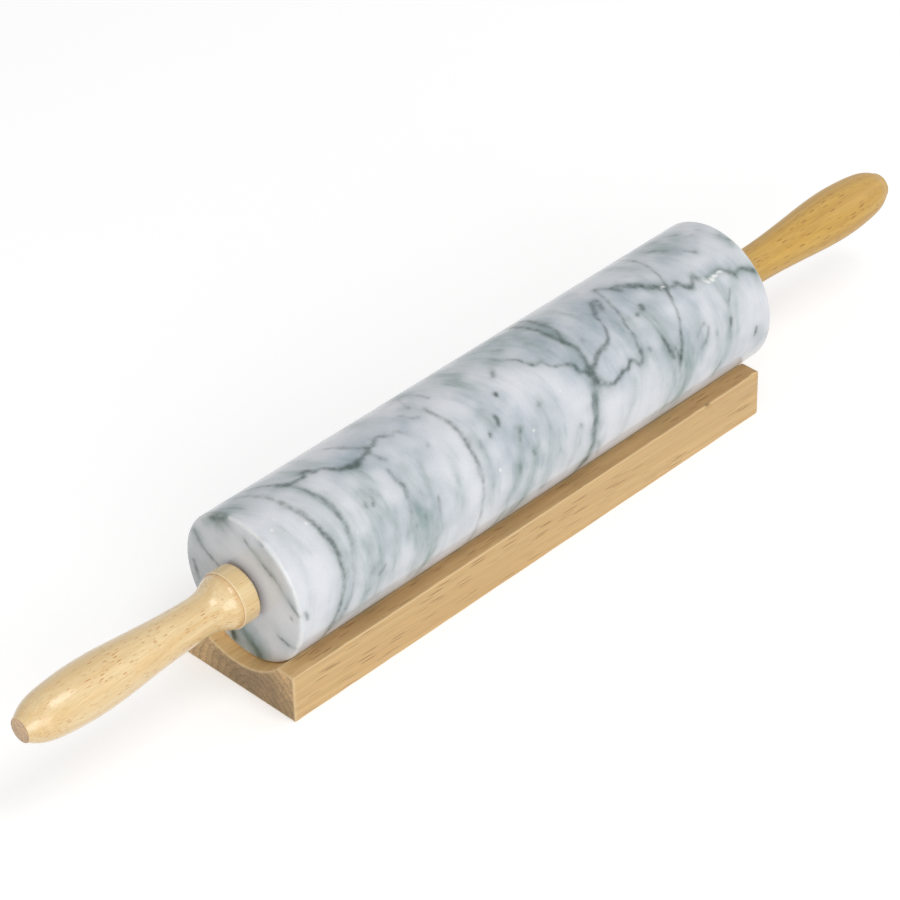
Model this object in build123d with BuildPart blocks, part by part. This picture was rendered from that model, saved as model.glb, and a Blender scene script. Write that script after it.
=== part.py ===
from build123d import *
import os

# Marble rolling pin lying in its wooden cradle, in millimetres.
# X runs along the pin, Z is up. The origin is on the surface that the cradle
# stands on, under the middle of the barrel. The right-hand end is at +X.

# Marble barrel: a polished cylinder, drilled end to end
barrel_length = 254.0
barrel_diameter = 60.3
rim_radius = 1.5
bore_diameter = 12.0
flange_seat_depth = 1.2
seat_chamfer = 0.4

# Nylon bushes: a sleeve in the bore, with a flange let into the end of the barrel
bushing_length = 16.0
bushing_flange_diameter = 15.6
bushing_flange_thickness = 1.4
flange_edge_radius = 0.3

# Steel axle: a journal, then a shoulder and a threaded tail at each end
journal_diameter = 8.0
thread_diameter = 6.0
tail_length = 44.0
tail_chamfer = 0.7

# Steel thrust washers, clamped between the axle's shoulders and the handles
washer_diameter = 14.4
washer_thickness = 1.6
washer_edge_radius = 0.3

# Brass inserts: the handles' threaded bores, held in the wood by barbs
insert_length = 13.0
insert_diameter = 10.0
barb_height = 0.5
barb_count = 4

# Turned handles: a collar, a small step, a bead, a neck, a belly and a cut tip
handle_length = 101.6
collar_diameter = 22.9
collar_length = 7.4
collar_edge_radius = 0.5
step_depth = 0.6
bead_length = 3.2
bead_drop = 0.85
neck_diameter = 15.8
belly_diameter = 21.6
tip_diameter = 9.4
tip_edge_radius = 0.4
neck_at_share = 0.225
belly_at_share = 0.705
# The outline's points between those, as shares of the stretch and the rise or fall there
cove_shares = (0.30, 0.665)
swell_shares = (0.50, 0.49)
nose_shares = ((0.50, 0.14), (0.815, 0.48))

# Cradle: one block of wood, as wide as the barrel, with a round trough between two ledges
cradle_length = 254.0
cradle_side_margin = 0.1
cradle_height = 20.3
cradle_shift = -5.7
trough_slack = 0.5
trough_floor = 10.9
lip_radius = 0.5
edge_radius = 0.4
sanded_end_radius = 2.4

# Clearances
running_clearance = 0.05
press_clearance = 0.02
thread_clearance = 0.03
flange_clearance = 0.2
washer_clearance = 0.2
end_play = 0.2
tail_end_clearance = 2.0
resting_clearance = 0.3
overrun = 1.0

# Sizes and places worked out from the ones above
cradle_width = barrel_diameter + 2 * cradle_side_margin
trough_radius = barrel_diameter / 2 + trough_slack
axis_height = trough_floor + resting_clearance + barrel_diameter / 2
flange_x = barrel_length / 2 - flange_seat_depth
shoulder_x = flange_x + bushing_flange_thickness + end_play
handle_x = shoulder_x + washer_thickness
pin_axis = Axis((0, 0, axis_height), (1, 0, 0))
barrel_middle = Plane(origin=(0, 0, axis_height), z_dir=(1, 0, 0))


def outline_plane(side, distance):
    """Plane for a turned outline: its x points out of the pin and its y is the radius."""
    return Plane(
        origin=(side * distance, 0, axis_height),
        x_dir=(side, 0, 0),
        z_dir=(0, -side, 0),
    )


def end_plane(side, distance, facing):
    """Plane across the pin at a distance from its middle, facing out (1) or in (-1)."""
    return Plane(origin=(side * distance, 0, axis_height), z_dir=(side * facing, 0, 0))


def save(piece, name):
    """Label a finished piece and write it as a STEP file of that name."""
    piece.part.label = name
    export_step(piece.part, f"parts/{name}.step")


os.makedirs("parts", exist_ok=True)

# Cradle: the trough runs its whole length, and its right end is sanded rounder
with BuildPart() as cradle:
    with BuildSketch(Plane.YZ.offset(cradle_shift - cradle_length / 2)):
        with Locations((0, cradle_height / 2)):
            Rectangle(cradle_width, cradle_height)
        with Locations((0, trough_floor + trough_radius)):
            Circle(trough_radius, mode=Mode.SUBTRACT)
    extrude(amount=cradle_length)
    top_edges = cradle.edges().filter_by(Axis.X).group_by(Axis.Z)[-1].sort_by(Axis.Y)
    fillet(top_edges[1:-1], lip_radius)
    fillet(cradle.faces().sort_by(Axis.X)[-1].edges(), sanded_end_radius)
    side_edges = cradle.edges().filter_by(Axis.X).group_by(Axis.Y)
    fillet(side_edges[0] + side_edges[-1], edge_radius)
    fillet(cradle.faces().sort_by(Axis.X)[0].edges(), edge_radius)
save(cradle, "cradle")

# Marble barrel: rounded rims, a through bore, and a shallow seat for each bush's flange
with BuildPart() as marble_barrel:
    with BuildSketch(barrel_middle):
        Circle(barrel_diameter / 2)
    extrude(amount=barrel_length / 2, both=True)
    rims = marble_barrel.edges().group_by(Axis.X)
    fillet(rims[0] + rims[-1], rim_radius)
    with Locations(*[end_plane(side, barrel_length / 2, 1) for side in (-1, 1)]):
        CounterBoreHole(
            radius=bore_diameter / 2,
            counter_bore_radius=bushing_flange_diameter / 2 + flange_clearance,
            counter_bore_depth=flange_seat_depth,
            depth=barrel_length / 2 + overrun,
        )
    end_faces = marble_barrel.faces().sort_by(Axis.X)
    seat_mouths = end_faces[0].inner_wires().edges() + end_faces[-1].inner_wires().edges()
    chamfer(seat_mouths, seat_chamfer)
save(marble_barrel, "marble_barrel")

# Axle: one rod through the barrel, screwed into both handles
with BuildPart() as axle_rod:
    with BuildSketch(barrel_middle):
        Circle(journal_diameter / 2)
    extrude(amount=shoulder_x, both=True)
    with BuildSketch(barrel_middle):
        Circle(thread_diameter / 2)
    extrude(amount=shoulder_x + tail_length, both=True)
    tail_ends = axle_rod.edges().group_by(Axis.X)
    chamfer(tail_ends[0] + tail_ends[-1], tail_chamfer)
save(axle_rod, "axle_rod")

# Each end of the pin has the same four pieces, turned to face out of it
for side, hand in ((-1, "left"), (1, "right")):

    # Bush: its flange stands a little proud of the marble, so that wood never rubs stone
    with BuildPart() as bushing:
        with BuildSketch(outline_plane(side, flange_x)):
            with BuildLine():
                bush_bore = journal_diameter / 2 + running_clearance
                sleeve = bore_diameter / 2 - press_clearance
                flange = bushing_flange_diameter / 2
                Polyline(
                    (-bushing_length, bush_bore),
                    (-bushing_length, sleeve),
                    (0, sleeve),
                    (0, flange),
                    (bushing_flange_thickness, flange),
                    (bushing_flange_thickness, bush_bore),
                    close=True,
                )
            make_face()
        revolve(axis=pin_axis)
        flange_rims = bushing.edges().filter_by(GeomType.CIRCLE).group_by(SortBy.RADIUS)[-1]
        outer_rim = flange_rims.sort_by(Axis((0, 0, 0), (side, 0, 0)))[-1]
        fillet(outer_rim, flange_edge_radius)
    save(bushing, f"{hand}_bushing")

    # Washer: it takes the bush's thrust and turns with the handle
    with BuildPart() as washer:
        with BuildSketch(end_plane(side, shoulder_x, 1)):
            Circle(washer_diameter / 2)
            Circle(thread_diameter / 2 + washer_clearance, mode=Mode.SUBTRACT)
        extrude(amount=washer_thickness)
        washer_rims = washer.edges().group_by(SortBy.LENGTH)[-1]
        fillet(washer_rims, washer_edge_radius)
    save(washer, f"{hand}_washer")

    # Insert: a plain head, then barbs with their square faces towards the head
    with BuildPart() as insert:
        with BuildSketch(outline_plane(side, handle_x)):
            with BuildLine():
                thread_bore = thread_diameter / 2 + thread_clearance
                crest = insert_diameter / 2
                root = crest - barb_height
                pitch = insert_length / (barb_count + 2)
                barbs = []
                for barb in range(1, barb_count + 1):
                    barbs.append((barb * pitch, crest))
                    barbs.append(((barb + 1) * pitch, root))
                Polyline(
                    (insert_length, thread_bore),
                    (0, thread_bore),
                    (0, crest),
                    *barbs,
                    (insert_length, root),
                    close=True,
                )
            make_face()
        revolve(axis=pin_axis)
    save(insert, f"{hand}_insert")

    # Handle: turned to its outline, then bored for the insert and the axle's tail
    with BuildPart() as handle:
        collar = collar_diameter / 2
        neck = neck_diameter / 2
        belly = belly_diameter / 2
        tip = tip_diameter / 2
        bead_x = collar_length + bead_length
        bead = collar - step_depth - bead_drop
        neck_x = handle_length * neck_at_share
        belly_x = handle_length * belly_at_share
        cove = (
            bead_x + (neck_x - bead_x) * cove_shares[0],
            bead + (neck - bead) * cove_shares[1],
        )
        swell = (
            neck_x + (belly_x - neck_x) * swell_shares[0],
            neck + (belly - neck) * swell_shares[1],
        )
        nose = [
            (belly_x + (handle_length - belly_x) * along, belly + (tip - belly) * fall)
            for along, fall in nose_shares
        ]
        with BuildSketch(outline_plane(side, handle_x)):
            with BuildLine():
                Polyline(
                    (handle_length, tip),
                    (handle_length, 0),
                    (0, 0),
                    (0, collar),
                    (collar_length, collar),
                    (collar_length, collar - step_depth),
                )
                TangentArc((collar_length, collar - step_depth), (bead_x, bead), tangent=(1, 0))
                Spline((bead_x, bead), cove, (neck_x, neck), swell, (belly_x, belly),
                       *nose, (handle_length, tip))
            make_face()
        revolve(axis=pin_axis)
        outward = Axis((0, 0, 0), (side, 0, 0))
        handle_rims = handle.edges().filter_by(GeomType.CIRCLE).sort_by(outward)
        fillet(handle_rims[0], collar_edge_radius)
        fillet(handle_rims[-1], tip_edge_radius)
        with Locations(end_plane(side, handle_x, -1)):
            CounterBoreHole(
                radius=thread_diameter / 2 + thread_clearance,
                counter_bore_radius=insert_diameter / 2 + press_clearance,
                counter_bore_depth=insert_length,
                depth=tail_length - washer_thickness + tail_end_clearance,
            )
    save(handle, f"{hand}_handle")
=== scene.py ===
"""Marble rolling pin in its wooden cradle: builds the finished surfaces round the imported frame.

Sizes in the classes are millimetres, and MM turns them to metres. Places on the barrel are
given by x along the pin and by turn, in degrees: 0 faces the front, at -Y, and 90 faces up.
"""

import itertools
import logging
import math
from dataclasses import dataclass, field
from enum import Enum
from typing import Any

import bpy
import numpy as np
from mathutils import Matrix, Vector


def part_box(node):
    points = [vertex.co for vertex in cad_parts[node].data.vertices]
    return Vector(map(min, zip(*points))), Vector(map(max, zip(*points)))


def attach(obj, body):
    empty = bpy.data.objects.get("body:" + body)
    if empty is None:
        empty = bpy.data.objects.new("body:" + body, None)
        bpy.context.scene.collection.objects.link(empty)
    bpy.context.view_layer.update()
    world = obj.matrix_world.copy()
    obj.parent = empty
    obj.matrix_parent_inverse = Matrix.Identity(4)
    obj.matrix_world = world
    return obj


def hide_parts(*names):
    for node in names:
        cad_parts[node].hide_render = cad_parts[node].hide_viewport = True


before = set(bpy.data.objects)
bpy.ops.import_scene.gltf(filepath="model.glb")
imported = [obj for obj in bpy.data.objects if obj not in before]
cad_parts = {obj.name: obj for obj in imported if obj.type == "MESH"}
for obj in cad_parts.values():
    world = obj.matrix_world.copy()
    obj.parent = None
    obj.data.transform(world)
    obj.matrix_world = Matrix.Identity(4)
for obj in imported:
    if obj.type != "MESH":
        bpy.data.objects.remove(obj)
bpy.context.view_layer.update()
MM = 0.001
LOG = logging.getLogger("rolling_pin")

# The colour inputs and the colour output of a Mix node
MIX_A, MIX_B, MIX_RESULT = 6, 7, 2
# The range that most of a noise's values fall in
MIDST = (0.3, 0.7)
WHITE = (1.0, 1.0, 1.0, 1.0)
TINY = 1e-6

Triple = tuple[float, float, float]
# What a pattern is carried over: from low, from high, to low, to high
Span = tuple[float, float, float, float]
# Places of a stroke, with its strength at each
Path = tuple[Triple, ...]


class End(Enum):
    """One end of the pin: its name in the frame, and its direction along X."""

    LEFT = ("left", -1)
    RIGHT = ("right", 1)

    @property
    def hand(self) -> str:
        """The first word of the names of this end's nodes."""
        return self.value[0]

    @property
    def side(self) -> int:
        """Minus one at the left-hand end and one at the right-hand end."""
        return self.value[1]


class Mark(Enum):
    """What a stroke in the stone looks like. Its value is the mesh attribute that holds it."""

    VEIN = "vein"
    WASH = "wash"
    HAZE = "haze"
    PALE = "pale"


def linear(hex_colour: str) -> tuple[float, float, float, float]:
    """Turns an sRGB hex colour to linear light.

    A channel is divided by 12.92 where it is under 0.04045, and elsewhere it is shifted by
    0.055, divided by 1.055 and raised to the power 2.4.

    Args:
        hex_colour: Six hex digits after a hash.

    Returns:
        Red, green and blue in linear light, and an alpha of 1.
    """
    channels = [int(hex_colour[i : i + 2], 16) / 255 for i in (1, 3, 5)]
    light = [c / 12.92 if c < 0.04045 else ((c + 0.055) / 1.055) ** 2.4 for c in channels]
    return (*light, 1.0)


def add_node(
    tree: bpy.types.NodeTree,
    kind: str,
    inputs: tuple[Any, ...] | dict[str | int, Any] = (),
    **settings: Any,
) -> bpy.types.NodeOutputs:
    """Adds one node with its settings, values and links.

    Args:
        tree: The tree of a material or of the world.
        kind: The node's type, without the word ShaderNode.
        inputs: Values, or the outputs that feed them, from the first input on or by its name.
        **settings: The node's own options.

    Returns:
        The node's outputs.
    """
    node = tree.nodes.new("ShaderNode" + kind)
    for name, value in settings.items():
        setattr(node, name, value)
    for key, value in inputs.items() if isinstance(inputs, dict) else enumerate(inputs):
        if isinstance(value, bpy.types.NodeSocket):
            tree.links.new(value, node.inputs[key])
        else:
            node.inputs[key].default_value = value
    return node.outputs


def combine(tree: bpy.types.NodeTree, *terms: tuple[Any, ...]) -> Any:
    """Adds up terms, each of them the product of its factors.

    Args:
        tree: The material's tree.
        *terms: Each term's factors. A factor is an output or a number, or an output with a
            span: it is then carried from its low and high to the new low and high, eased as
            3 t t - 2 t t t and held at both ends.

    Returns:
        The output with the sum.
    """
    total = None
    for factors in terms:
        product = None
        for factor in factors:
            if isinstance(factor, tuple):
                factor = add_node(tree, "MapRange", factor, interpolation_type="SMOOTHSTEP")[0]
            both = (product, factor)
            product = factor if product is None else add_node(tree, "Math", both, operation="MULTIPLY")[0]
        total = product if total is None else add_node(tree, "Math", (total, product), operation="ADD")[0]
    return total


def start_material(
    name: str, middle: Triple = (0.0, 0.0, 0.0), turn: Triple = (0.0, 0.0, 0.0)
) -> tuple[bpy.types.Material, bpy.types.NodeTree, Any]:
    """Makes a material with its coordinates.

    Args:
        name: The finish, in plain words.
        middle: Where the coordinates start, in millimetres.
        turn: Their turn in radians.

    Returns:
        The material, its tree and the coordinates, in millimetres.
    """
    material = bpy.data.materials.new(name)
    material.use_nodes = True
    tree = material.node_tree
    tree.nodes.clear()
    axes = {
        "Vector": add_node(tree, "TexCoord")["Object"],
        "Location": tuple(c * MM for c in middle),
        "Rotation": turn,
        "Scale": (MM, MM, MM),
    }
    return material, tree, add_node(tree, "Mapping", axes, vector_type="TEXTURE")[0]


def lattice_noise(points: np.ndarray, size: float, seed: int) -> np.ndarray:
    """Smooth noise from -1 to 1.

    Random values stand on a cubic lattice. A point takes the eight round it, each weighted
    by the product of its three shares, and a share t is eased to 3 t t - 2 t t t.

    Args:
        points: Places, one a row.
        size: The lattice's spacing, in the same unit.
        seed: Picks the random values.

    Returns:
        One value a point.
    """
    cell = points / size
    low = np.floor(cell).astype(int)
    share = cell - low
    share = share * share * (3 - 2 * share)
    low -= low.min(axis=0)
    lattice = np.random.default_rng(seed).uniform(-1, 1, low.max(axis=0) + 2)
    total = np.zeros(len(points))
    for corner in itertools.product((0, 1), repeat=3):
        weight = np.prod(np.where(corner, share, 1 - share), axis=1)
        total += weight * lattice[tuple((low + corner).T)]
    return total


def curve_through(knots: np.ndarray, steps: int) -> np.ndarray:
    """Smooth curve through points: a natural cubic in each coordinate.

    Its parameter is the length of the straight runs between the points, and its second
    derivatives solve the usual three-term equations, with none at the two ends.

    Args:
        knots: The points, one a row.
        steps: How many points to give between the first and the last.

    Returns:
        The curve's points, from the first knot to the last.
    """
    at = np.concatenate([[0], np.cumsum(np.linalg.norm(np.diff(knots, axis=0), axis=1))])
    gap = np.diff(at)
    count = len(knots)
    rows = np.eye(count)
    rise = np.zeros_like(knots, dtype=float)
    inner = np.arange(1, count - 1)
    rows[inner, inner - 1], rows[inner, inner + 1] = gap[:-1], gap[1:]
    rows[inner, inner] = 2 * (gap[:-1] + gap[1:])
    slope = np.diff(knots, axis=0) / gap[:, None]
    rise[1:-1] = 6 * np.diff(slope, axis=0)
    bend = np.linalg.solve(rows, rise)
    place = np.linspace(0, at[-1], steps + 1)
    span = np.clip(np.searchsorted(at, place, side="right") - 1, 0, count - 2)
    length = gap[span][:, None]
    b = (place - at[span])[:, None] / length
    a = 1 - b
    cubic = ((a**3 - a) * bend[span] + (b**3 - b) * bend[span + 1]) * length**2 / 6
    return a * knots[span] + b * knots[span + 1] + cubic


def arc(centre: tuple[float, float], radius: float, start: float, end: float, steps: int) -> np.ndarray:
    """Points along a circle's arc.

    Args:
        centre: The circle's middle.
        radius: Its radius.
        start: Where the arc starts, in degrees.
        end: Where it ends.
        steps: How many steps it is divided in.

    Returns:
        The points, one more than the steps.
    """
    angle = np.radians(np.linspace(start, end, steps + 1))
    return np.stack([centre[0] + radius * np.cos(angle), centre[1] + radius * np.sin(angle)], axis=1)


def line(start: tuple[float, float], end: tuple[float, float], steps: int) -> np.ndarray:
    """Points from one place to another, without the two places themselves."""
    return np.linspace(start, end, steps + 1)[1:-1]


def make_object(name: str, vertices: np.ndarray, faces: list[np.ndarray]) -> bpy.types.Object:
    """Makes a smooth mesh object at the origin, with its faces pointing outwards.

    The volume inside the faces is a sixth of the sum of triple products of each triangle's
    corners. Where it is below zero, the faces are turned round.

    Args:
        name: The piece's name.
        vertices: Places in metres, one a row.
        faces: Arrays of corner numbers, each with faces of one size.

    Returns:
        The object, linked to the scene.
    """
    fans = [g[:, [0, k, k + 1]] for g in faces for k in range(1, g.shape[1] - 1)]
    corners = vertices[np.concatenate(fans)]
    volume = np.einsum("ij,ij->i", corners[:, 0], np.cross(corners[:, 1], corners[:, 2])).sum()
    if volume < 0:
        faces = [g[:, ::-1] for g in faces]
    mesh = bpy.data.meshes.new(name)
    mesh.vertices.add(len(vertices))
    mesh.vertices.foreach_set("co", vertices.astype(np.float32).ravel())
    loops = np.concatenate([g.ravel() for g in faces]).astype(np.int32)
    sizes = np.concatenate([np.full(len(g), g.shape[1]) for g in faces])
    mesh.loops.add(len(loops))
    mesh.loops.foreach_set("vertex_index", loops)
    mesh.polygons.add(len(sizes))
    mesh.polygons.foreach_set("loop_start", np.concatenate([[0], np.cumsum(sizes)[:-1]]).astype(np.int32))
    mesh.polygons.foreach_set("use_smooth", np.ones(len(sizes), bool))
    mesh.update(calc_edges=True)
    mesh.validate()
    piece = bpy.data.objects.new(name, mesh)
    bpy.context.scene.collection.objects.link(piece)
    return piece


def write_values(piece: bpy.types.Object, name: str, values: np.ndarray) -> None:
    """Stores one value a vertex in a named attribute, for the piece's material to read."""
    layer = piece.data.attributes.new(name, "FLOAT", "POINT")
    layer.data.foreach_set("value", values.astype(np.float32))


def revolve(outline: np.ndarray, segments: int, height: float) -> tuple[np.ndarray, list[np.ndarray]]:
    """Turns an outline about the pin's axis.

    A point at x and radius r becomes a ring at x, -r cos a, height + r sin a, with a running
    round once. A first or last point on the axis becomes one vertex, a pole. Without poles
    the last ring is joined to the first.

    Args:
        outline: Rows of x and radius.
        segments: How many parts a ring has.
        height: The axis's height.

    Returns:
        The vertices, ring by ring with any poles last, and the arrays of faces.
    """
    poles = outline[[0, -1], 1] == 0
    rings = outline[1 if poles[0] else 0 : -1 if poles[1] else None]
    turn = np.linspace(0, 2 * math.pi, segments, endpoint=False)
    x = np.repeat(rings[:, 0], segments)
    y = -np.outer(rings[:, 1], np.cos(turn)).ravel()
    z = height + np.outer(rings[:, 1], np.sin(turn)).ravel()
    vertices = np.stack([x, y, z], axis=1)
    number = np.arange(len(vertices)).reshape(len(rings), segments)
    after = np.roll(number, -1, axis=1)
    near, far = (number[:-1], number[1:]) if poles.any() else (number, np.roll(number, -1, axis=0))
    near_after, far_after = (after[:-1], after[1:]) if poles.any() else (after, np.roll(after, -1, axis=0))
    faces = [np.stack([near, near_after, far_after, far], axis=-1).reshape(-1, 4)]
    for pole, place, ring, ring_after in (
        (poles[0], outline[0], after[0], number[0]),
        (poles[1], outline[-1], number[-1], after[-1]),
    ):
        if pole:
            tip = np.full(segments, len(vertices))
            faces.append(np.stack([ring, ring_after, tip], axis=1))
            vertices = np.vstack([vertices, [place[0], 0, height]])
    return vertices, faces


@dataclass(frozen=True)
class Stroke:
    """One vein, streak or cloud in the stone, drawn over the barrel from place to place.

    On the side a place is x in mm, turn in degrees and strength. On an end face it is y and
    height above the axis in mm, and strength. The width is from the stroke's middle to where
    it has faded to about a third.
    """

    width: float
    places: Path
    mark: Mark = Mark.VEIN
    face: End | None = None


def strokes(mark: Mark, width: float, *paths: Path) -> list[Stroke]:
    """Strokes of one kind and one width on the barrel's side."""
    return [Stroke(width, path, mark) for path in paths]


# Bands that go round the barrel, read from the front over the top, and closed behind
HOOPS = strokes(
    Mark.VEIN, 1.3,
    ((-113.5, 112, .35), (-110.5, 95, .42), (-108, 78, .45), (-106, 62, .55), (-104.5, 48, .7),
     (-104, 32, .62), (-105, 15, .56), (-107.5, -2, .55), (-111, -20, .55), (-115, -42, .45),
     (-120, -75, .3), (-123, -110, .4), (-123.5, -150, .45), (-121, -190, .4), (-117, -225, .35),
     (-113.5, -248, .3)),
    ((-101, 98, .5), (-99.5, 90, .48), (-98, 82, .48), (-95.5, 66, .5), (-95, 50, .5),
     (-96, 34, .42), (-98.5, 23, .32), (-101.5, 8, .32), (-104, -6, .42), (-107, -18, .45)),
    ((-35.5, 88, .4), (-35, 83, .55), (-34, 75, .4), (-32.6, 64, .58), (-32.3, 54, .5),
     (-32.6, 47, .55), (-32.2, 38, .52), (-33, 25, .46), (-34, 14, .46), (-35.5, 0, .36),
     (-37, -10, .32), (-38.5, -24, .38), (-41, -50, .3), (-44, -90, .25), (-46, -130, .35),
     (-44, -170, .4), (-40, -205, .3), (-36.5, -235, .4), (-33, -242, .45)),
)

# The dark trunk right of the middle, its two roots over the top, and its way round the back
TRUNK = strokes(
    Mark.VEIN, 1.35,
    ((31.8, 45, .45), (30.6, 37, .38), (28.8, 30, .44), (27.3, 22, .58), (26, 14, .64),
     (25.2, 7, .52), (24.8, 0, .5), (24.4, -6, .5), (23.8, -12, .5), (22.4, -19, .52),
     (20, -32, .5), (16, -60, .4), (13, -95, .35), (14, -130, .42), (18, -165, .45),
     (23, -200, .4), (27, -225, .45), (28, -240, .5)),
    ((28, 120, .6), (28.2, 112, .6), (28.8, 104, .6), (29.2, 95, .6), (29.6, 88, .62),
     (30.2, 80, .66), (31, 74, .72), (32, 70, .72), (33.3, 66, .66), (33.5, 58, .55),
     (33, 52, .55), (32, 45, .6)),
) + strokes(
    Mark.VEIN, 1.2,
    ((33.3, 122, .6), (33.8, 112, .6), (33, 104, .6), (33.3, 96, .55), (33.5, 88, .5),
     (32.5, 82, .5), (31.5, 75, .5)),
    ((33.2, 40, .25), (31.4, 32, .24), (29.4, 24, .36), (28, 16, .34), (26.8, 8, .25)),
    ((27.5, -10, .35), (28.5, -18, .35), (30, -26, .3)),
)

# Dark jagged seams that run along the barrel
SEAMS = strokes(
    Mark.VEIN, 1.3,
    ((-108.5, 118, .45), (-106, 112, .5), (-104.5, 108, .55), (-102.5, 103, .58), (-101, 98, .58),
     (-99, 95.5, .58), (-96, 94, .6), (-93, 94.5, .64), (-91, 96.5, .5), (-89.5, 94, .68),
     (-87.5, 92.5, .6), (-85, 90, .6), (-83.5, 87, .62), (-81.5, 84, .66), (-79, 81, .75),
     (-77, 80, .9), (-75, 78.5, 1.0), (-73, 80, .9), (-71, 80.5, .75), (-69, 82, .65),
     (-67, 83.5, .65), (-65, 85, .62), (-62.5, 85, .5), (-60.5, 88, .52), (-57.5, 87.5, .45),
     (-55, 83.5, .42), (-52.5, 84.5, .3), (-50, 80, .35), (-49, 76, .2)),
    ((63.5, 102, .38), (65, 99, .4), (66.5, 95, .42), (68.5, 90, .5), (70, 87, .55),
     (71.5, 89.5, .5), (72.5, 87, .5), (74, 83.5, .58), (75.5, 80.5, .6), (77, 81, .5),
     (78.5, 76.5, .58), (80, 74, .56), (82, 71, .52), (84.5, 67.5, .5), (87, 66, .52),
     (89, 65, .54), (90.5, 65.5, .6), (91.5, 63, .6), (93, 59, .7), (94.5, 57, .75), (96, 59, .6),
     (97.5, 62, .45), (99, 64.5, .3)),
    ((99.5, 61, .32), (101, 58.5, .3), (104, 58, .3), (107, 58, .36), (109, 57, .42),
     (111, 56, .5), (113, 53, .58), (115, 50, .62), (116, 48, .65), (118.5, 50, .6),
     (120.5, 49, .64), (122, 47, .66), (124, 43.5, .64), (126.3, 40, .6)),
) + strokes(
    Mark.VEIN, 1.05,
    ((69, 92, .45), (72.5, 90.5, .3), (76, 84.5, .4), (79.5, 78, .35), (83, 72, .3)),
    ((2, 96, .2), (5, 91, .32), (8, 86, .38), (10.5, 82, .48), (12, 75, .52), (14, 71, .55),
     (17, 70, .42), (18.5, 65, .48), (20.5, 61, .45), (23, 60, .5), (26, 57, .65), (27.5, 54, .75),
     (28, 49, .6), (30, 47, .6), (31.5, 45, .65)),
    ((33.5, 43.5, .65), (34.5, 45.5, .8), (36.5, 48, .65), (38.5, 51, .62), (41, 52, .65),
     (44, 54, .66), (46.5, 56.5, .6), (49, 61, .6), (50.3, 66, .56), (51, 72, .54), (52, 78, .58),
     (53.5, 82, .58), (54.5, 87, .64), (55.5, 90, .55)),
    ((57, 79, .45), (57.5, 85, .5), (58, 90, .45)),
    ((32.5, 38, .5), (33.5, 34, .55), (35, 32, .52), (38, 29.5, .55), (40, 29, .68),
     (42, 29.5, .7), (44.5, 30.5, .72), (46.5, 32, .66), (48, 31, .68), (50, 33, .68),
     (51.5, 35, .7), (53, 34, .58), (55, 30, .5), (57, 33, .52), (57.5, 38, .45)),
    ((-75.5, 110, .3), (-74, 106, .42), (-72.5, 100, .42), (-71, 96, .42), (-69, 92, .42),
     (-66.5, 88, .4)),
    ((-66.5, 80, .4), (-66, 75, .4), (-64.7, 70, .38)),
    ((-66.8, 62, .42), (-66.5, 52, .5), (-65.5, 46, .52), (-66.5, 41, .45), (-67.5, 33, .38),
     (-68.5, 25, .3)),
    ((-44, 95, .35), (-42, 88, .42), (-40, 85, .35)),
    ((-3.5, 80, .42), (-1.5, 84, .45), (-0.5, 88, .3)), ((-93, 99, .45), (-90.5, 97, .5)),
)

# Finer lines that follow the bands
LINES = strokes(
    Mark.VEIN, 0.85,
    ((63, 101, .36), (62, 90, .44), (61, 80, .42), (60.5, 74, .44), (59.5, 66, .48), (59, 60, .48),
     (58.8, 52, .52), (58, 45, .5), (57.5, 38, .5)),
    ((89, 122, .5), (89, 112, .52), (89, 102, .54), (88.8, 92, .5), (88.2, 84, .5),
     (87.5, 77, .52), (86.5, 71, .52), (85, 66, .62), (84, 60, .6), (83, 54, .58), (82, 48, .58),
     (81, 42, .56), (79.5, 36, .56), (78, 29, .6), (76.5, 23, .66), (75, 17, .74), (74, 13, .58),
     (73, 8, .4)),
    ((73.5, 27, .35), (74, 21, .42), (74.5, 16, .5)),
    ((86, 23, .35), (88, 26, .42), (91, 29, .48)),
    ((87, 14, .4), (89, 17, .45), (91, 20, .48), (93, 25, .48)),
    ((-38.5, 97, .4), (-38, 102, .4), (-36, 112, .35), (-34.5, 118, .3)),
    ((-29.5, 96, .4), (-30, 104, .36), (-30, 113, .3)),
    ((-11, 30, .45), (-10, 34, .5), (-8.5, 38, .42)),
    ((-56.5, 14, .32), (-55.5, 19, .48), (-54.5, 25, .52), (-54, 28, .42)),
    ((107.2, 34, .6), (108.6, 38, .7), (110, 41, .55)),
    ((105.2, 22, .6), (104.2, 18, .65), (103, 13, .5)),
    ((97, -11, .42), (95.5, -14, .42), (94, -17, .36)),
    ((106, 86, .35), (107.5, 83, .42), (109.5, 79, .48)),
    ((-85, 5, .42), (-86.5, 3, .42), (-88.5, 0.5, .48)),
    ((-124.4, 9, .45), (-123.9, 6, .65), (-123.6, 3, .5)),
)

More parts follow.
